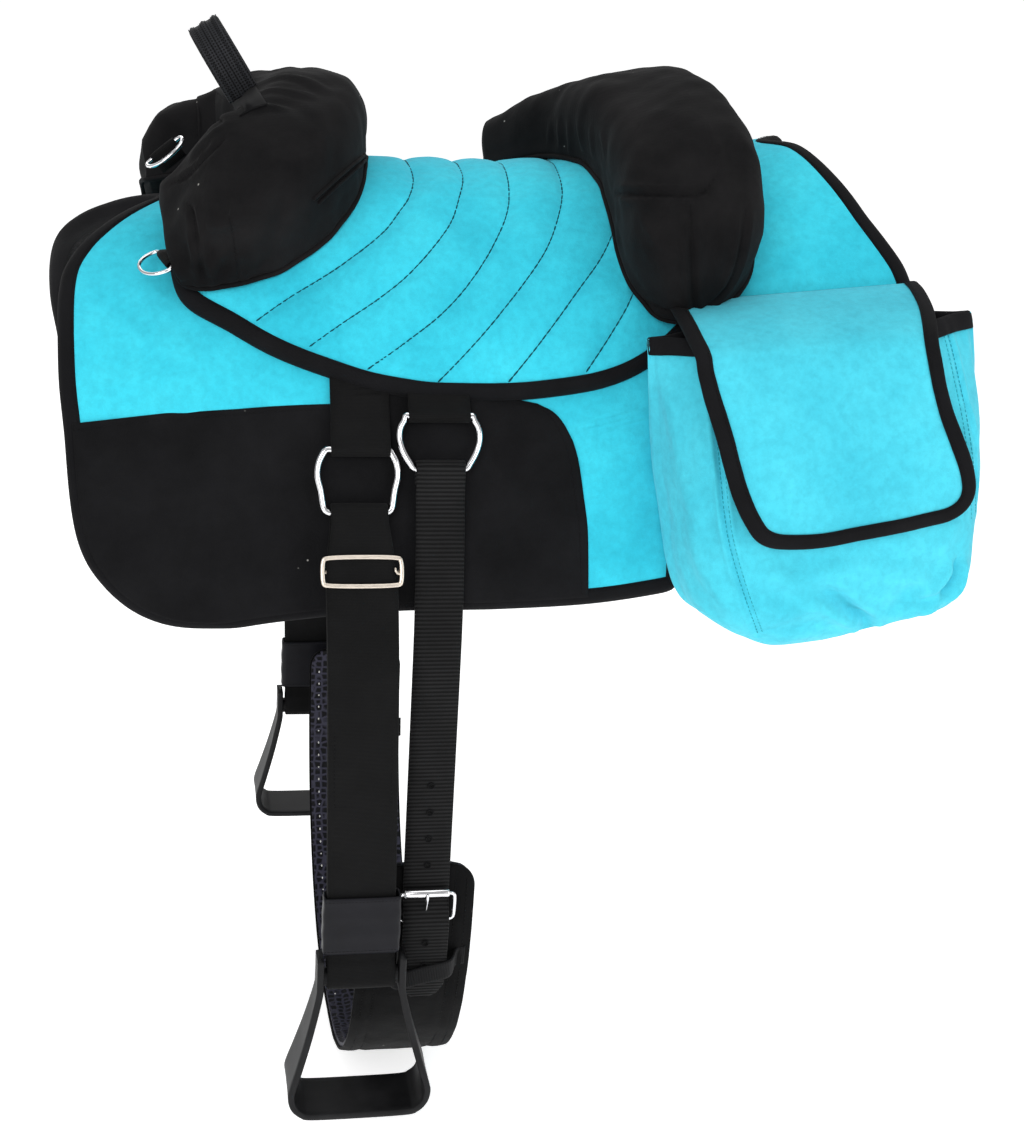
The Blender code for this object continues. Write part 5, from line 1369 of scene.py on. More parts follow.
for side_name, sg in (("near", 1.0), ("far", -1.0)):
    FLIP["y"] = sg < 0
    # rings
    o = tube("ring_of_stirrup_strap_" + side_name, d_ring(RS_LOW, RS_TOP, 60, 71, 54, STRAP_X - 1), WIRE / 2, M_CHROME,
             closed=True, sides=16, body="ring_s_" + side_name, slot="chrome")
    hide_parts("stirrup_ring_" + side_name)
    o = tube("ring_of_girth_billet_" + side_name, d_ring(RG_LOW, RG_TOP, 66, 72, 47, BILLET_X), WIRE / 2, M_CHROME,
             closed=True, sides=16, slot="chrome")
    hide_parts("girth_ring_" + side_name)
    # webbing tabs: sewn under the seat's edge, down over the ring's top bar and back
    for nm, x, top_yz, s_ring, half_w, s_up, s_dn, l_in in (
            ("stirrup_tab_", STRAP_X + 2.0, RS_TOP, 303, 26.5, 226.0, 290.0, 24.0),
            ("girth_tab_", BILLET_X, RG_TOP, 276, 28.0, 230.0, 268.0, 12.0)):
        slope = math.degrees(PAD_MAX_ANGLE * (1 - math.exp(-s_ring / PAD_CURVE)))
        r = WIRE / 2 + 0.5 + WEB_T / 2
        f = arc2(top_yz[0], top_yz[1], r, slope + 80, slope + 280, 12)
        dvec = np.array([math.cos(math.radians(slope)), math.sin(math.radians(slope))])
        lead_in = [drape(x, -s_, h_)[1:] for s_, h_ in ((s_up, H4 + 1.7), (s_up * 0.6 + s_dn * 0.4, H4 + 3.6), (s_dn, H4 + 11.0))]
        path = np.vstack([lead_in, f, [f[-1] + dvec * l_in]])
        o = strap("hanger_" + nm + side_name, path, x, half_w, WEB_T, M_STRAP, step=1.5, smooth=4, cols=7, slot="webbing")
        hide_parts(nm + side_name)
        for row_s in (s_up + 24.0, s_up + 29.0):
            if row_s < s_dn - 8 and nm == "stirrup_tab_":
                xs = np.linspace(x - half_w + 4, x + half_w - 4, 30)
                hh = np.interp(row_s, [s_up, s_up * 0.6 + s_dn * 0.4, s_dn], [H4 + 3.2, H4 + 5.1, H4 + 12.6])
                stitches("tab_bar_%s%s_%d" % (nm, side_name, row_s), drape(xs, -row_s, hh), drape_normal(xs[0], -row_s),
                         M_THREAD_BLACK, 2.4, 1.0, 0.4, slot="webbing")
    # stirrup strap
    o = strap("stirrup_strap_webbing_" + side_name, loop_s, lambda z: strap_x(z), strap_half, WEB_T, M_STRAP, closed=True,
              step=2.2, smooth=5, cols=13, bulge=0.35, body="strap_" + side_name, slot="webbing")
    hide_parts("stirrup_strap_" + side_name)
    # stitched joint of the strap's two ends, below the slide
    for dx in (-26.0, 26.0):
        zz = np.linspace(-430, -505, 40)
        yy = np.interp(-zz, [400, 450, 520], [-305.5 - 3.4, -307.7 - 3.4, -311.4]) - WEB_T / 2 - 0.3
        stitches("strap_joint_%s_%d" % (side_name, dx), np.stack([strap_x(zz) + dx, yy, zz], -1), np.array([0, -1.0, 0]),
                 M_THREAD_BLACK, 3.0, 1.2, 0.42, body="strap_" + side_name, slot="webbing")
    for z_ in (-430, -505):
        xs = np.linspace(-26, 26, 20) + strap_x(z_)
        stitches("strap_joint_%s_%d" % (side_name, z_), np.stack([xs, np.full(20, -310.9 if z_ == -430 else -312.7), np.full(20, z_)], -1),
                 np.array([0, -1.0, 0]), M_THREAD_BLACK, 3.0, 1.2, 0.42, body="strap_" + side_name, slot="webbing")
    # slide adjuster
    y, z, t_, n_ = mids[1]
    c = np.array([strap_x(z), y, z])
    n3, d3 = np.array([0, n_[0], n_[1]]), np.array([0, -t_[0], -t_[1]])
    corner = [(-35.1, -12.9), (35.1, -12.9), (35.1, 12.9), (-35.1, 12.9)]
    dense = []
    for i in range(4):
        p0, p1 = np.array(corner[i]), np.array(corner[(i + 1) % 4])
        e = (p1 - p0) / np.linalg.norm(p1 - p0)
        dense += [p0 + e * 3.4, p1 - e * 3.4]
    dense = chaikin(np.array(dense), 3, True)
    P = c + n3 * 7.0 + dense[:, :1] * np.array([1.0, 0, 0]) + dense[:, 1:] * d3
    sec = chaikin(np.array([(-2.0, -1.3), (2.0, -1.3), (2.0, 1.3), (-2.0, 1.3)]), 2, True)
    o = sweep("slide_frame_" + side_name, P, np.broadcast_to(n3, P.shape), sec, M_NICKEL, closed=True,
              body="slide_" + side_name, slot="brushed_nickel")
    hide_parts("slide_buckle_" + side_name)
    rp = [(-35.1, 6.6), (-35.1, 1.6), (-33.6, 0.2), (33.6, 0.2), (35.1, 1.6), (35.1, 6.6)]
    tube("slide_bar_" + side_name, np.array([c + n3 * q + np.array([p, 0, 0]) for p, q in chaikin(np.array(rp, float), 2, False)]),
         1.7, M_NICKEL, sides=12, body="slide_" + side_name, slot="brushed_nickel")
    tube("slide_pin_" + side_name, np.array([c + n3 * 7.0 + np.array([x_, 0, 0]) + d3 * q for x_, q in ((33.6, -2.5), (31.0, -1.6), (29.6, 0.4), (29.4, 3.0))]),
         1.2, M_NICKEL, sides=10, body="slide_" + side_name, slot="brushed_nickel")
    # keeper sleeve
    kx = 35.2
    base = chaikin(np.array([(STIRRUP_X - 1 + a_, b_) for a_, b_ in ((-kx, STRAP_Y - 7.6), (-kx * 0.93, STRAP_Y - 8.3), (kx * 0.93, STRAP_Y - 8.3),
                    (kx, STRAP_Y - 7.6), (kx, STRAP_Y + 7.6), (kx * 0.93, STRAP_Y + 8.3), (-kx * 0.93, STRAP_Y + 8.3), (-kx, STRAP_Y + 7.6))]), 3, True)
    base = resample(base, 2.5, closed=True)
    zs_ = np.linspace(-657, -598, 26)
    swell = 0.5 * np.sin((zs_ + 657) / 59 * math.pi) + 0.25 * np.cos((zs_ + 657) / 59 * math.pi * 6)
    out_, in_ = [], []
    cen = np.array([STIRRUP_X - 1, STRAP_Y])
    Tb = np.roll(base, -1, 0) - np.roll(base, 1, 0)
    Nb = np.stack([Tb[:, 1], -Tb[:, 0]], -1)
    Nb /= np.linalg.norm(Nb, axis=1, keepdims=True)
    if ((base - cen) * Nb).sum() < 0:
        Nb = -Nb
    for z_, sw in zip(zs_, swell):
        e_ = 1.0 - 0.7 * math.exp(-min(z_ + 657, -598 - z_) / 1.2)
        out_.append(np.column_stack([base + Nb * (e_ + sw), np.full(len(base), z_)]))
        in_.append(np.column_stack([base - Nb * 0.9, np.full(len(base), z_)]))
    G = np.array(out_ + in_[::-1])
    o = make("keeper_sleeve_leather_" + side_name, G, grid_faces(len(G), len(base), cyc_i=True, cyc_j=True), M_LEATHER,
             body="keeper_" + side_name, slot="smooth_leather")
    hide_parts("keeper_sleeve_" + side_name)
    for z_ in (-601.5, -653.5):
        line = base + Nb * 1.1
        stitches("keeper_stitch_%s_%d" % (side_name, z_), np.column_stack([line, np.full(len(line), z_)]),
                 np.column_stack([Nb, np.zeros(len(Nb))]), M_THREAD_BLACK, 2.4, 1.1, 0.36, body="keeper_" + side_name, slot="smooth_leather")
    # stirrup
    half = [(38.6, -663, 24), (38.6, -687, 25), (39.5, -701, 28), (48, -738, 40), (57.5, -772, 51), (63.5, -792, 57),
            (64.8, -801, 59), (62.0, -811, 61), (55.0, -818, 62), (45, -821, 62)]
    prof = np.array([(-a_, z_, d_) for a_, z_, d_ in half] + [(0, -821.6, 62)] + [(a_, z_, d_) for a_, z_, d_ in half[::-1]])
    prof = resample(catmull(prof, 8), 2.5)
    P = np.stack([STIRRUP_X + prof[:, 0], np.full(len(prof), STRAP_Y), prof[:, 1]], -1)
    T = np.gradient(P, axis=0)
    T /= np.linalg.norm(T, axis=1, keepdims=True)
    Nn = np.cross(np.array([0, 1.0, 0]), T)
    if (Nn * (P - np.array([STIRRUP_X, STRAP_Y, -740]))).sum() < 0:
        Nn = -Nn
    hd = prof[:, 2] / 2
    rim = np.array([(1.0, 0.0), (1.0, 2.1), (0.93, 3.25), (0.75, 3.1), (0.4, 2.9), (0.0, 2.85), (-0.4, 2.9), (-0.75, 3.1), (-0.93, 3.25),
                    (-1.0, 2.1), (-1.0, 0.0), (-1.0, -2.1), (-0.93, -3.25), (-0.75, -3.1), (-0.4, -3.0), (0.0, -3.0), (0.4, -3.0), (0.75, -3.1),
                    (0.93, -3.25), (1.0, -2.1)])
    S = np.stack([rim[None, :, 0] * hd[:, None], np.broadcast_to(rim[None, :, 1], (len(P), len(rim)))], -1)
    thick = 1.0 + 0.35 * np.clip((-prof[:, 1] - 790) / 30, 0, 1)
    S = S * np.stack([np.ones_like(thick), np.where(True, 1.0, thick)], -1)[:, None, :]
    o = sweep("stirrup_iron_" + side_name, P, Nn, S, M_PLASTIC, side=np.array([0, 1.0, 0]), body="stirrup_" + side_name,
              slot="stirrup_plastic")
    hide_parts("stirrup_" + side_name)
    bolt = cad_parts["stirrup_bolt_" + side_name]
    bolt.data.materials.clear()
    bolt.data.materials.append(M_PLASTIC)
    # billet with its holes
    leadg = math.degrees(math.atan2(-26, -9.0))
    hook = arc2(RG_LOW[0], RG_LOW[1], WIRE / 2 + LOOP_PLAY + WEB_T / 2, leadg + 82, leadg + 275, 10)
    dv = np.array([math.cos(math.radians(leadg)), math.sin(math.radians(leadg))])
    path = np.vstack([[hook[0] + dv * 13 + np.array([-1.0, 0.2])], hook, BILLET_PATH])

    def taper(z, L):
        return np.interp(L[-1] - L, [0, 6, 16, 30], [9.0, 16.5, 21.2, 22.2])
    o = strap("billet_webbing_" + side_name, path, BILLET_X, taper, 1.7, M_RIB, step=0.65, smooth=5, cols=6, rib=0.75, rib_to=-648.0,
              body="girth", slot="webbing")
    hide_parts("billet_" + side_name)
    for z_ in (-505.0, -533.0, -561.0, -589.0, -668.0, -694.0):
        y_ = float(np.interp(-z_, [-b for _, b in BILLET_PATH], [a_ for a_, _ in BILLET_PATH]))
        i_ = int(np.argmin([abs(b - z_) for _, b in BILLET_PATH]))
        n_out = np.array([0, -1.0, 0.0]) if z_ > -640 else np.array([0, -0.97, -0.22])
        cc = np.array([BILLET_X, y_, z_]) + n_out * 1.65
        w = np.linspace(0, 2 * math.pi, 19)[:-1]
        e1, e2 = np.array([1.0, 0, 0]), np.cross(n_out, [1.0, 0, 0])
        tube("billet_eyelet_%s_%d" % (side_name, -z_), cc + np.cos(w)[:, None] * e1 * 2.9 + np.sin(w)[:, None] * e2 * 2.9, 0.75,
             M_THREAD_BLACK, closed=True, sides=8, body="girth", slot="webbing")
        # near-black disc sunk into each hole: painted shade inside the punched hole
        rr = [np.array([cc + (np.cos(v) * e1 + np.sin(v) * e2) * r_ + n_out * h_ for v in w]) for r_, h_ in ((2.9, -0.2), (2.0, -0.35), (0.4, -0.5))]
        G = np.array(rr)
        F = grid_faces(3, 18, cyc_j=True) + [tuple(range(36, 54))]
        make("billet_hole_shade_%s_%d" % (side_name, -z_), G, F, M_HOLE_SHADE, body="girth", slot="webbing")
    # roller buckle

    def fy(z):
        return ROLL_Y + (z - ROLL_Z) / (BAR_Z - ROLL_Z) * (BAR_Y - ROLL_Y)
    w_ = 27.0
    fr = [(BILLET_X + a_, fy(z_), z_) for a_, z_ in ((w_ - 5, ROLL_Z), (w_ - 1.2, ROLL_Z - 1.2), (w_, ROLL_Z - 5), (w_, BAR_Z + 5),
                                                       (w_ - 1.2, BAR_Z + 1.2), (w_ - 5, BAR_Z))]
    fr = np.array(fr + [(2 * BILLET_X - x_, y_, z_) for x_, y_, z_ in fr[::-1]])
    o = tube("buckle_wire_" + side_name, resample(chaikin(fr, 2, True), 2.0, closed=True), 2.0, M_CHROME, closed=True, sides=14,
             body="girth", slot="chrome")
    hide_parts("buckle_frame_" + side_name)
    xs = np.array([-21.5, -21.0, -20, 20, 21.0, 21.5]) + BILLET_X
    o = tube("buckle_roller_tube_" + side_name, np.stack([xs, np.full(6, ROLL_Y), np.full(6, ROLL_Z)], -1),
             np.array([3.4, 4.1, 4.4, 4.4, 4.1, 3.4]), M_CHROME, sides=24, body="roller_" + side_name, slot="chrome")
    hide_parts("buckle_roller_" + side_name)
    eye = [(BILLET_X, y_, z_) for y_, z_ in arc2(BAR_Y, BAR_Z, 3.9, -170, 60, 9)]
    eye += [(BILLET_X, BAR_Y - 1.2, BAR_Z + 8), (BILLET_X, BAR_Y - 5.0, BAR_Z + 17), (BILLET_X, ROLL_Y - 5.7, BAR_Z + 26),
            (BILLET_X, ROLL_Y - 5.9, ROLL_Z + 1.5)]
    o = tube("buckle_prong_" + side_name, resample(catmull(eye, 4), 1.2), 1.5, M_CHROME, sides=12, body="tongue_" + side_name, slot="chrome")
    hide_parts("buckle_tongue_" + side_name)
    # elastic keeper over the billet's end
    rows_ = []
    for z_ in np.linspace(-695, -717, 9):
        gy = -GIRTH_HALF * (1 - ((GIRTH_TOP_Z - z_) / GIRTH_DROP) ** GIRTH_POWER) ** (1 / GIRTH_POWER)
        ty = float(np.interp(-z_, [-b for _, b in BILLET_PATH[-5:]], [a_ for a_, _ in BILLET_PATH[-5:]])) - 3.4
        pr = catmull([(GIRTH_X - 50, gy - 6.2), (BILLET_X - 34, gy - 6.6), (BILLET_X - 25, ty + 0.2), (BILLET_X, ty - 0.5),
                      (BILLET_X + 25, ty + 0.2), (BILLET_X + 34, gy - 6.6), (GIRTH_X + 50, gy - 6.2)], 6)
        rows_.append(np.column_stack([pr[:, 0], pr[:, 1], z_ + 0.22 * (pr[:, 0] - BILLET_X)]))
    G = np.array(rows_)
    GN = grid_normals(G, cyc_j=False)
    if GN[..., 1].mean() > 0:
        GN = -GN
    uvk = np.stack([G[..., 2], G[..., 0]], -1)
    o = shell("elastic_keeper_band_" + side_name, G + GN * 0.8, G - GN * 0.8, M_ELASTIC, uv=uvk, body="girth", slot="webbing")
    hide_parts("elastic_keeper_" + side_name)
FLIP["y"] = False

# ------------------------------------------------------------------ girth


def girth_line(n=240):
    a_ = np.linspace(0, math.pi, n)
    c_, s_ = np.cos(a_), np.sin(a_)
    y_ = -GIRTH_HALF * np.sign(c_) * np.abs(c_) ** (2 / GIRTH_POWER)
    z_ = GIRTH_TOP_Z - GIRTH_DROP * np.abs(s_) ** (2 / GIRTH_POWER)
    P = np.column_stack([y_, z_])
    P = np.vstack([[-GIRTH_HALF, GIRTH_TOP_Z + 8], P, [GIRTH_HALF, GIRTH_TOP_Z + 8]])
    return resample(P, 3.2)


GP = girth_line()
T = np.gradient(GP, axis=0)
T /= np.linalg.norm(T, axis=1, keepdims=True)
GN2 = np.stack([T[:, 1], -T[:, 0]], -1)
if GN2[len(GN2) // 2, 1] > 0:
    GN2 = -GN2
GL = np.r_[0, np.cumsum(np.linalg.norm(np.diff(GP, axis=0), axis=1))]


def girth_sheet(lo, hi, half, puff, seed):
    a_ = np.sin(np.linspace(-1, 1, 45) * math.pi / 2)
    dist = np.minimum(GL, GL[-1] - GL)
    hf = half - 24 + np.sqrt(np.clip(24 ** 2 - np.clip(24 - dist, 0, 24) ** 2, 0, None))
    xs_ = GIRTH_X + a_[None, :] * hf[:, None]
    t01 = np.clip(GL / GL[-1], 0, 1)
    xs_ = xs_ - 8.0 * (t01 * t01 * (3 - 2 * t01))[:, None]
    e_ = np.minimum(hf[:, None] * (1 - np.abs(a_))[None, :], dist[:, None] + 1.0)
    pf = puff * (1 - np.exp(-e_ / 6.0))
    flat = np.stack(np.broadcast_arrays(xs_, GL[:, None]), -1)
    for off in (-36.0, 36.0):
        dd = np.abs(a_[None, :] * hf[:, None] - off)
        pf = pf - 1.6 * np.exp(-(dd / 4.0) ** 2)
    pf = pf + waves(flat, seed, 60.0) * 0.5 + waves(flat, seed + 1, 24.0) * 0.2

    def at_h(h_):
        return np.stack([xs_, GP[:, :1] + GN2[:, :1] * h_, GP[:, 1:] + GN2[:, 1:] * h_], -1)
    return at_h, pf, flat


at_h, pf, fl = girth_sheet(0, 0, GIRTH_W / 2, 2.0, 61)
o = shell("girth_band_canvas", at_h(3.0 + pf * 0.8), at_h(0.5 + 0 * pf), M_GIRTH, uv=fl, body="girth", slot="canvas")
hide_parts("girth_band")
at_n, pn, fl2 = girth_sheet(0, 0, GIRTH_W / 2 - 2, 1.4, 63)
o = shell("girth_neoprene_lining", at_n(0.2 + 0 * pn), at_n(-4.2 - pn * 0.8), M_NEO, uv=fl2, body="girth", slot="neoprene")
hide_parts("girth_neoprene")
side_n = np.array([1.0, 0, 0])
for off in (-47.0, -36.0, 36.0, 47.0):
    sel = (GL > 14) & (GL < GL[-1] - 14)
    t01 = np.clip(GL / GL[-1], 0, 1)
    x_ = GIRTH_X + off - 8.0 * (t01 * t01 * (3 - 2 * t01))
    h_ = np.interp(off, [-47, -36, 36, 47], [4.3, 3.3, 3.3, 4.3])
    line = np.column_stack([x_, GP[:, 0] + GN2[:, 0] * h_, GP[:, 1] + GN2[:, 1] * h_])[sel]
    nn = np.column_stack([np.zeros(len(GP)), GN2])[sel]
    stitches("girth_stitch_%d" % int(off), line, nn, M_THREAD_BLACK, 3.4, 1.3, 0.45, body="girth", slot="canvas")
# pale lacing dots along the lining's front edge
t01 = np.clip(GL / GL[-1], 0, 1)
x_ = GIRTH_X - GIRTH_W / 2 + 11.0 - 8.0 * (t01 * t01 * (3 - 2 * t01))
line = np.column_stack([x_, GP[:, 0] - GN2[:, 0] * 5.6, GP[:, 1] - GN2[:, 1] * 5.6])[GL > GL[-1] * 0.5]
nn = -np.column_stack([np.zeros(len(GP)), GN2])[GL > GL[-1] * 0.5]
sel = slice(0, len(line) - 6)
stitches("girth_lacing", line[sel], nn[sel], M_THREAD_WHITE, 2.4, 12.6, 0.75, body="girth", slot="neoprene")

# ------------------------------------------------------------------ saddle bags
BAG_PLAN = [(-1.00, 0.0), (-1.00, 0.28), (-0.96, 0.55), (-0.86, 0.80), (-0.70, 0.95), (-0.35, 1.0), (0.35, 1.0),
            (0.70, 0.95), (0.86, 0.80), (0.96, 0.55), (1.00, 0.28), (1.00, 0.0), (0.5, -0.02), (0.0, -0.03), (-0.5, -0.02)]
BAG_STATIONS = [(-352, 278, 34, -286, -304), (-341, 282, 66, -281, -322), (-325, 287, 98, -275, -334),
                (-306, 291, 124, -270, -341), (-268, 293, 139, -260, -345), (-205, 290, 145, -245, -340),
                (-142, 284, 148, -229, -321), (-96, 279, 146, -212, -298)]
PLAN = catmull(BAG_PLAN, 16, closed=True)
ST = catmull([(-354, 277, 12, -291, -299)] + BAG_STATIONS, 11)
ST = np.vstack([[(-354.5, 277, 1.0, -294.5, -295.5)], ST])
pinch = np.clip((ST[:, :1] + 165) / 60.0, 0, 1) ** 1.3
ST[:, 1] += -7.0 * pinch[:, 0]
aa = np.abs(PLAN[None, :, 0])
wide = np.clip((1 - aa) / 0.55, 0.13, 1)
PB = PLAN[None, :, 1] * (1 - pinch) + pinch * (0.42 + (PLAN[None, :, 1] - 0.42) * wide)
rise = np.clip((aa - 0.35) / 0.35, 0, 1)
zz = 27.0 * pinch * rise * rise * (3 - 2 * rise) + ST[:, :1] + 0.10 * (PLAN[None, :, 0] * ST[:, 2:3]) * (0.55 + 0.45 * np.clip((ST[:, :1] + 345) / 80.0, 0, 1))
BV = np.stack([ST[:, 1:2] + PLAN[None, :, 0] * ST[:, 2:3], ST[:, 3:4] + (ST[:, 4:5] - ST[:, 3:4]) * PB, zz], -1)
BN = grid_normals(BV)
bvb = tree(BV, grid_faces(BV.shape[0], BV.shape[1], cyc_j=True))
front_w = np.clip(PLAN[:, 1], 0, 1)[None, :]
sag = [pick(bvb, q)[0] for q in ([(936, 594), (945, 584), (953, 572), (958, 558)], [(915, 604), (926, 598), (936, 594)],
                                 [(866, 622), (852, 612), (838, 600), (822, 590)], [(888, 616), (905, 600), (920, 580)],
                                 [(905, 585), (890, 560), (868, 556)])]
wr = [pick(bvb, q)[0] for q in ([(690, 400), (700, 440), (705, 480)], [(668, 380), (676, 430), (684, 480)],
                                [(965, 400), (970, 440), (966, 480)], [(745, 600), (790, 612), (830, 606)],
                                [(690, 520), (700, 560), (716, 590)], [(760, 570), (800, 580), (860, 566)],
                                [(960, 520), (940, 545), (915, 555)], [(764, 566), (796, 592), (840, 618)],
                                [(702, 560), (726, 598), (752, 622)], [(880, 560), (910, 575), (940, 570)],
                                [(676, 470), (690, 500), (698, 540)], [(905, 560), (930, 596), (935, 612)])]
seam_l = [(708, 380), (715, 417), (720, 470), (727, 532), (740, 582), (758, 634)]
seam_r = [(944, 322), (951, 345), (960, 385), (968, 425), (974, 470), (976, 520)]
disp = waves(BV, 71, 130.0) * 2.2 + waves(BV, 72, 55.0) * 1.0 + waves(BV, 73, 22.0) * 0.3
disp *= (0.35 + 0.65 * front_w) * np.clip((np.arange(len(ST)) / 10.0), 0, 1)[:, None] * (1 - 0.8 * pinch)
# the bottom notch runs on round under the bag
under = sag[2][0] + np.arange(24, 0, -4.0)[:, None] * np.array([0.35, 0.85, -0.35])
sag[2] = np.vstack([snap(bvb, under)[0], sag[2]])
sag[2] = resample(sag[2], 2.0)
disp -= fold(BV, sag[:1], 13.0, 5.0) + fold(BV, sag[1:2], 6.0, 6.0) + fold(BV, sag[2:3], 12.0, 6.5) + fold(BV, sag[3:], 4.5, 10.0)
disp += 10.0 * np.exp(-((BV[..., 0] - 410) / 42.0) ** 2 - ((BV[..., 2] + 296) / 34.0) ** 2)
disp += fold(BV, wr, 3.2, 10.0)
sl, sr = pick(bvb, seam_l)[0], pick(bvb, seam_r)[0]
disp += groove(BV, [sl, sr], 2.6, 2.8, 0.9)
BV2 = BV + BN * disp[..., None]
BI = BV2 - BN * 2.4
ni, nj = BV2.shape[:2]
P = np.vstack([BV2.reshape(-1, 3), BI[1:].reshape(-1, 3)])
F = grid_faces(ni, nj, cyc_j=True)
F += grid_faces(ni - 1, nj, cyc_j=True, base=ni * nj, flip=True)
F.append(tuple(range(nj)))
F.append(tuple(range(ni * nj, ni * nj + nj))[::-1])
for j in range(nj):
    j2 = (j + 1) % nj
    F.append(((ni - 1) * nj + j, (ni - 1) * nj + j2, ni * nj + (ni - 2) * nj + j2, ni * nj + (ni - 2) * nj + j)[::-1])
F_bag, P_bag = F, P
bvb2 = tree(BV2, grid_faces(ni, nj, cyc_j=True))

# flap: one piece of cloth from the seam on the pad, over the mouth and down
FP = catmull([(-190.5, -50), (-214, -52), (-252, -58), (-280, -66), (-293, -71.5), (-300.5, -77), (-308, -86), (-316, -100),
              (-336, -146), (-346, -186), (-350.5, -218), (-352.5, -250)], 10)
FP = resample(FP, 1.5)
FV = np.r_[0, np.cumsum(np.linalg.norm(np.diff(FP, axis=0), axis=1))]
front_from = int(np.argmin(np.abs(FP[:, 1] + 77)))


def flap_at(x, v, h=0.0):
    """Point of the flap at x and at length v along it, h above its middle."""
    y_ = np.interp(v, FV, FP[:, 0])
    z_ = np.interp(v, FV, FP[:, 1])
    t_ = np.stack([np.gradient(FP[:, 0], FV), np.gradient(FP[:, 1], FV)], -1)
    ny, nz = -np.abs(np.interp(v, FV, t_[:, 1])), np.interp(v, FV, -t_[:, 0])
    q = np.stack(np.broadcast_arrays(x, v), -1)
    on_front = np.clip((v - FV[front_from]) / 40.0, 0, 1)
    soft_ = (waves(q, 81, 120.0) * 1.6 + waves(q, 82, 46.0) * 0.6) * on_front
    side_drop = 6.0 * np.clip((232 - x) / 60.0, 0, 1) ** 2 * on_front
    hh = h + soft_ - side_drop
    return np.stack([x + 0 * hh, y_ + ny * hh, z_ + 0.10 * (x - 284) + nz * hh], -1)


def flap_px(px, py):
    """(x, v) on the flap's front under a point of the photograph's view."""
    d_ = view_dir(px, py)
    y_ = -330.0
    for _ in range(12):
        p = EYE + d_ * ((y_ - EYE[1]) / d_[1])
        zf = p[2] - 0.10 * (p[0] - 284)
        zf = min(max(zf, -250.0), -77.0)
        y_ = float(np.interp(-zf, -FP[front_from:, 1], FP[front_from:, 0]))
    return p[0], float(np.interp(-(p[2] - 0.10 * (p[0] - 284)), -FP[front_from:, 1], FV[front_from:]))


left_px = [(701, 374), (707, 394), (717, 424), (732, 482), (742, 512), (749, 526)]
bottom_px = [(749, 526), (757, 538), (770, 545), (790, 547), (825, 545), (877, 535), (930, 524), (950, 519), (964, 510), (972, 498)]
right_px = [(974, 484), (969, 462), (961, 440), (954, 418), (947, 394), (941, 369), (938, 354)]
Lx = np.array([flap_px(*q) for q in left_px])
Bx = np.array([flap_px(*q) for q in bottom_px])
Rx = np.array([flap_px(*q) for q in right_px])[::-1]
vf = FV[front_from]
Lx = np.vstack([[(154, 0), (152.5, 24), (151.5, 62), (152, 90), (154, vf - 2)], Lx])
Rx = np.vstack([[(388, 0), (386, 24), (380, 62), (374, 90), (369, vf - 2)], Rx])
Rx = np.vstack([Rx, Bx[-1:]])
Lc, Rc = resample(catmull(Lx, 6), n=120), resample(catmull(Rx, 6), n=120)
Bc = resample(catmull(Bx, 6), n=80)
Tc = np.stack([np.linspace(Lc[0, 0], Rc[0, 0], 80), np.zeros(80)], -1)
s_, t_ = np.linspace(0, 1, 80)[None, :, None], np.linspace(0, 1, 120)[:, None, None]
G = ((1 - t_) * Tc[None] + t_ * Bc[None] + (1 - s_) * Lc[:, None] + s_ * Rc[:, None]
     - ((1 - s_) * (1 - t_) * Tc[0] + s_ * (1 - t_) * Tc[-1] + (1 - s_) * t_ * Bc[0] + s_ * t_ * Bc[-1]))
edge2 = np.vstack([Lc, Bc[1:], Rc[::-1][1:]])
edge2 = resample(edge2, 3.0)
for _ in range(3):
    edge2[1:-1] = (edge2[:-2] + 2 * edge2[1:-1] + edge2[2:]) / 4
ET = np.gradient(edge2, axis=0)
ET /= np.linalg.norm(ET, axis=1, keepdims=True)
EN = np.stack([-ET[:, 1], ET[:, 0]], -1)
cen = edge2.mean(0)
if ((edge2 - cen) * EN).sum() < 0:
    EN = -EN
FSEC = np.array([(-11.5, 2.2), (-11.2, 3.0), (-6, 3.1), (-1, 2.9), (1.6, 2.0), (2.6, 0.3), (1.8, -1.6), (-1, -2.4), (-6, -2.7),
                 (-11.2, -2.6), (-11.5, -1.8), (-6, -1.8), (-0.4, -1.5), (0.6, 0.2), (-0.4, 1.8), (-6, 2.0)])
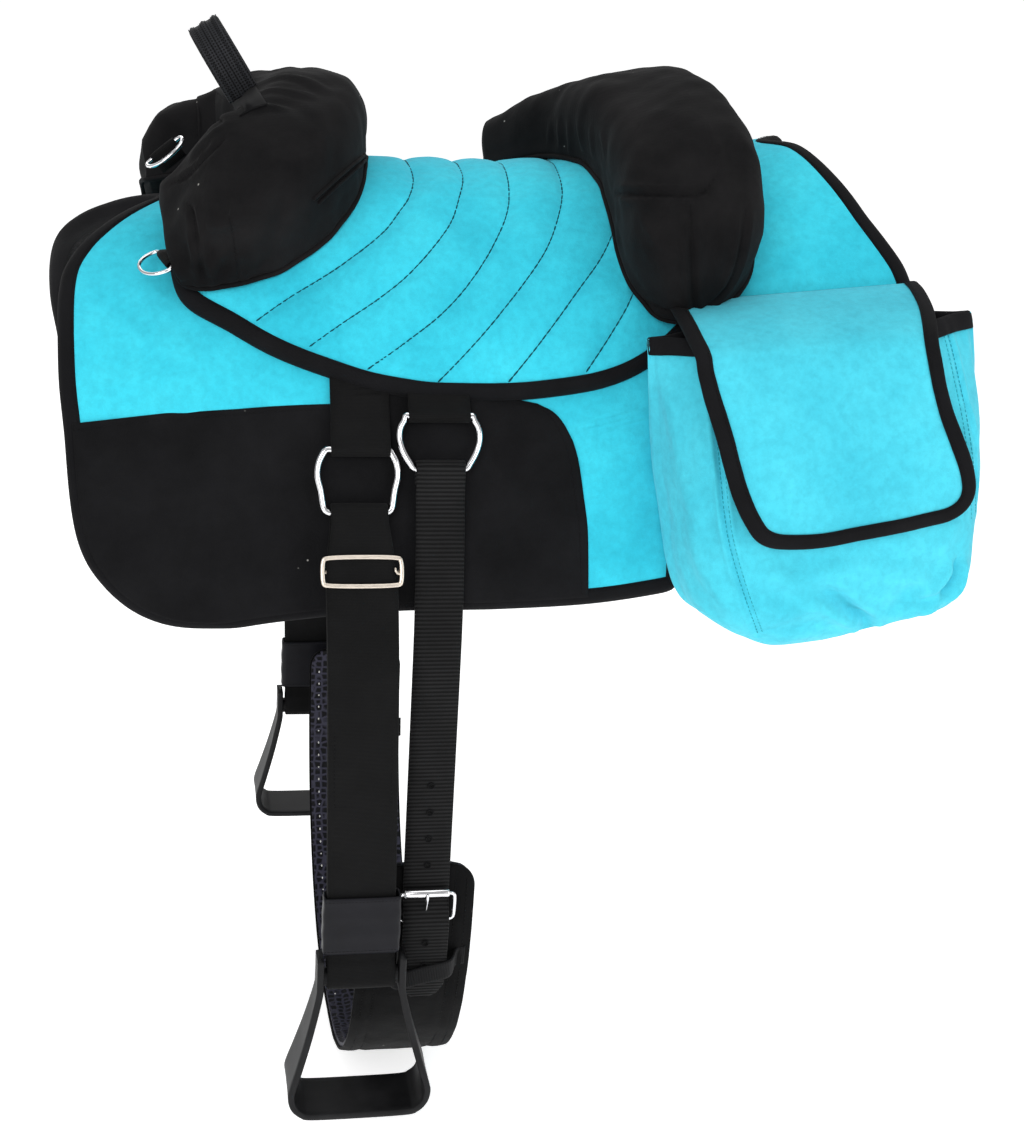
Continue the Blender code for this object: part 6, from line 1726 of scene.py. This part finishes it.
for side_name, sg in (("near", 1.0), ("far", -1.0)):
    FLIP["y"] = sg < 0
    o = make("bag_pouch_cloth_" + side_name, P_bag, F_bag, M_SUEDE_BAG, slot="suede")
    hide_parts("bag_pouch_" + side_name)
    for nm, px in (("left", seam_l), ("right", seam_r)):
        Pn, Nn = pick(bvb2, px, 1.0)
        stitches("bag_seam_%s_%s" % (nm, side_name), Pn, Nn, M_THREAD_BLUE, 3.2, 1.1, 0.5, slot="suede")
        sft = [(a_ + (5.0 if nm == "left" else -4.5), b_) for a_, b_ in px]
        Pn, Nn = pick(bvb2, sft, 1.0)
        stitches("bag_seam2_%s_%s" % (nm, side_name), Pn, Nn, M_THREAD_BLUE, 3.2, 1.1, 0.42, slot="suede")
    # tape over the pouch's mouth
    rimp = resample(np.hstack([BV2[-1], BV2[-4] - BV2[-1]]), 2.5, closed=True)
    for _ in range(3):
        rimp = (np.roll(rimp, 1, 0) + 2 * rimp + np.roll(rimp, -1, 0)) / 4
    down = rimp[:, 3:] / np.linalg.norm(rimp[:, 3:], axis=1, keepdims=True)
    rimp = rimp[:, :3]
    rt = np.roll(rimp, -3, 0) - np.roll(rimp, 3, 0)
    rn = np.stack([rt[:, 1], -rt[:, 0], np.zeros(len(rt))], -1)
    rn /= np.linalg.norm(rn, axis=1, keepdims=True)
    if ((rimp - rimp.mean(0)) * rn).sum() < 0:
        rn = -rn
    msec = np.array([(1.9, 13.5), (2.6, 12.5), (2.8, 5.0), (2.3, 0.0), (0.6, -1.8), (-1.2, -2.2), (-3.0, -1.6), (-4.0, 0.2),
                     (-4.2, 5.0), (-4.1, 11.5), (-3.4, 12.5), (-3.1, 5.0), (-2.6, 0.5), (-1.2, -0.8), (0.4, -0.2), (0.9, 5.0)])
    VV = rimp[:, None] + rn[:, None] * msec[None, :, :1] + down[:, None] * msec[None, :, 1:]
    dm = np.r_[0, np.cumsum(np.linalg.norm(np.diff(rimp, axis=0), axis=1))]
    uvm = np.stack(np.broadcast_arrays(msec[None, :, 1], dm[:, None]), -1)
    make("bag_mouth_tape_" + side_name, VV, grid_faces(len(rimp), len(msec), cyc_i=True, cyc_j=True), M_BINDING, uv=uvm, slot="webbing")
    Fl = shell("bag_flap_cloth_" + side_name, flap_at(G[..., 0], G[..., 1], 1.3), flap_at(G[..., 0], G[..., 1], -1.3), M_SUEDE_BAG,
               uv=G, body=None, slot="suede")
    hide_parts("bag_flap_top_" + side_name, "bag_flap_" + side_name)
    EX = edge2[:, None, 0] + EN[:, None, 0] * FSEC[None, :, 0]
    EV = edge2[:, None, 1] + EN[:, None, 1] * FSEC[None, :, 0]
    VV = flap_at(EX, np.clip(EV, 0, None), FSEC[None, :, 1])
    k = len(FSEC)
    dE = np.r_[0, np.cumsum(np.linalg.norm(np.diff(edge2, axis=0), axis=1))]
    F = grid_faces(len(edge2), k, cyc_j=True) + [tuple(range(k))[::-1], tuple(range((len(edge2) - 1) * k, len(edge2) * k))]
    Bd = make("bag_flap_tape_" + side_name, VV, F, M_BINDING, uv=np.stack(np.broadcast_arrays(FSEC[None, :, 0], dE[:, None]), -1),
              body=None, slot="webbing")
    in2 = edge2 - EN * 9.0
    St = stitches("bag_flap_stitch_" + side_name, flap_at(in2[:, 0], np.clip(in2[:, 1], 0, None), 3.25),
                  flap_at(in2[:, 0], np.clip(in2[:, 1], 0, None), 13.0) - flap_at(in2[:, 0], np.clip(in2[:, 1], 0, None), 3.0),
                  M_THREAD_BLACK, 2.8, 1.2, 0.36, body=None, slot="webbing")
    for piece in (Fl, Bd, St):
        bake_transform(piece)
FLIP["y"] = False

# ------------------------------------------------------------------ small rings on the pommel
UPPER = ((-301.0, -58.0, 42.0), (-0.77, -0.08, -0.63), (0.20, -0.97, -0.10))
LOWER = ((-300.0, -139.0, -43.0), (-0.30, 0.88, 0.20), (-0.81, -0.43, -0.40))
for side_name, sg in (("near", 1.0), ("far", -1.0)):
    for nm, (c, ax, dn) in (("upper", UPPER), ("lower", LOWER)):
        if nm == "upper" and sg < 0:
            continue
        c = np.array([c[0] + (-18 if sg < 0 else 0), c[1], c[2]])
        ax = np.array(ax) / np.linalg.norm(ax)
        dn = np.array(dn) - ax * np.dot(dn, ax)
        dn /= np.linalg.norm(dn)
        FLIP["y"] = sg < 0
        w = 40.0
        half = [(w / 2 - 4, 0.0), (w / 2 - 0.5, 1.5), (w / 2, 6.0)] + [(w / 2 * math.cos(math.radians(q)), 8 + w * 0.42 * math.sin(math.radians(q)))
                                                                  for q in (0, 25, 50, 75)]
        loop = half + [(-a_, b_) for a_, b_ in half[::-1]]
        P = np.array([c + ax * a_ + dn * b_ for a_, b_ in loop])
        o = tube("small_ring_%s_%s" % (nm, side_name), resample(chaikin(P, 3, True), 2.0, closed=True), 1.75, M_CHROME, closed=True,
                 sides=12, body="pommel_ring_%s_%s" % (nm, side_name), slot="chrome")
        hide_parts("pommel_ring_%s_%s" % (nm, side_name))
        # webbing loop that holds the ring's bar
        q3 = np.cross(ax, dn)
        bk = np.array([0.80, 0.10, -0.60]) if nm == "upper" else np.array([0.90, 0.25, 0.10])
        bk = bk - ax * bk.dot(ax)
        bk /= np.linalg.norm(bk)
        q3 = np.cross(ax, bk)
        tp = [c + bk * 16 + q3 * 2.2, c + bk * 8 + q3 * 2.8]
        tp += [c + (q3 * math.cos(v) - bk * math.sin(v)) * 3.4 for v in np.linspace(0, math.pi, 9)]
        tp += [c + bk * 8 - q3 * 2.8, c + bk * 16 - q3 * 2.2]
        P = np.array(tp)
        T = np.gradient(P, axis=0)
        Nn = np.cross(T, ax)
        Nn /= np.linalg.norm(Nn, axis=1, keepdims=True)
        sec = chaikin(np.array([(-13.5, -0.7), (13.5, -0.7), (13.5, 0.7), (-13.5, 0.7)]), 1, True)
        sweep("ring_loop_%s_%s" % (nm, side_name), P, Nn, sec, M_STRAP, side=ax, slot="webbing")
FLIP["y"] = False

# ------------------------------------------------------------------ floor
bm_floor = bpy.data.meshes.new("studio_floor")
bm_floor.from_pydata([(-40, -40, -0.935), (40, -40, -0.935), (40, 40, -0.935), (-40, 40, -0.935)], [], [(0, 1, 2, 3)])
floor = bpy.data.objects.new("studio_floor", bm_floor)
scene.collection.objects.link(floor)
M_FLOOR, nt_, b_ = new_mat("pale_floor")
nz_ = noise(nt_, coords(nt_), 3.0, 3.0)
fr_ = ramp(nt_, [(0.3, (0.91, 0.91, 0.91)), (0.7, (0.93, 0.93, 0.93))])
link(nt_, nz_, 0, fr_, 0)
link(nt_, fr_, 0, b_, "Base Color")
b_.inputs["Roughness"].default_value = 0.9
b_.inputs["Emission Color"].default_value = (1, 1, 1, 1)
b_.inputs["Emission Strength"].default_value = 0.62
bm_floor.materials.append(M_FLOOR)
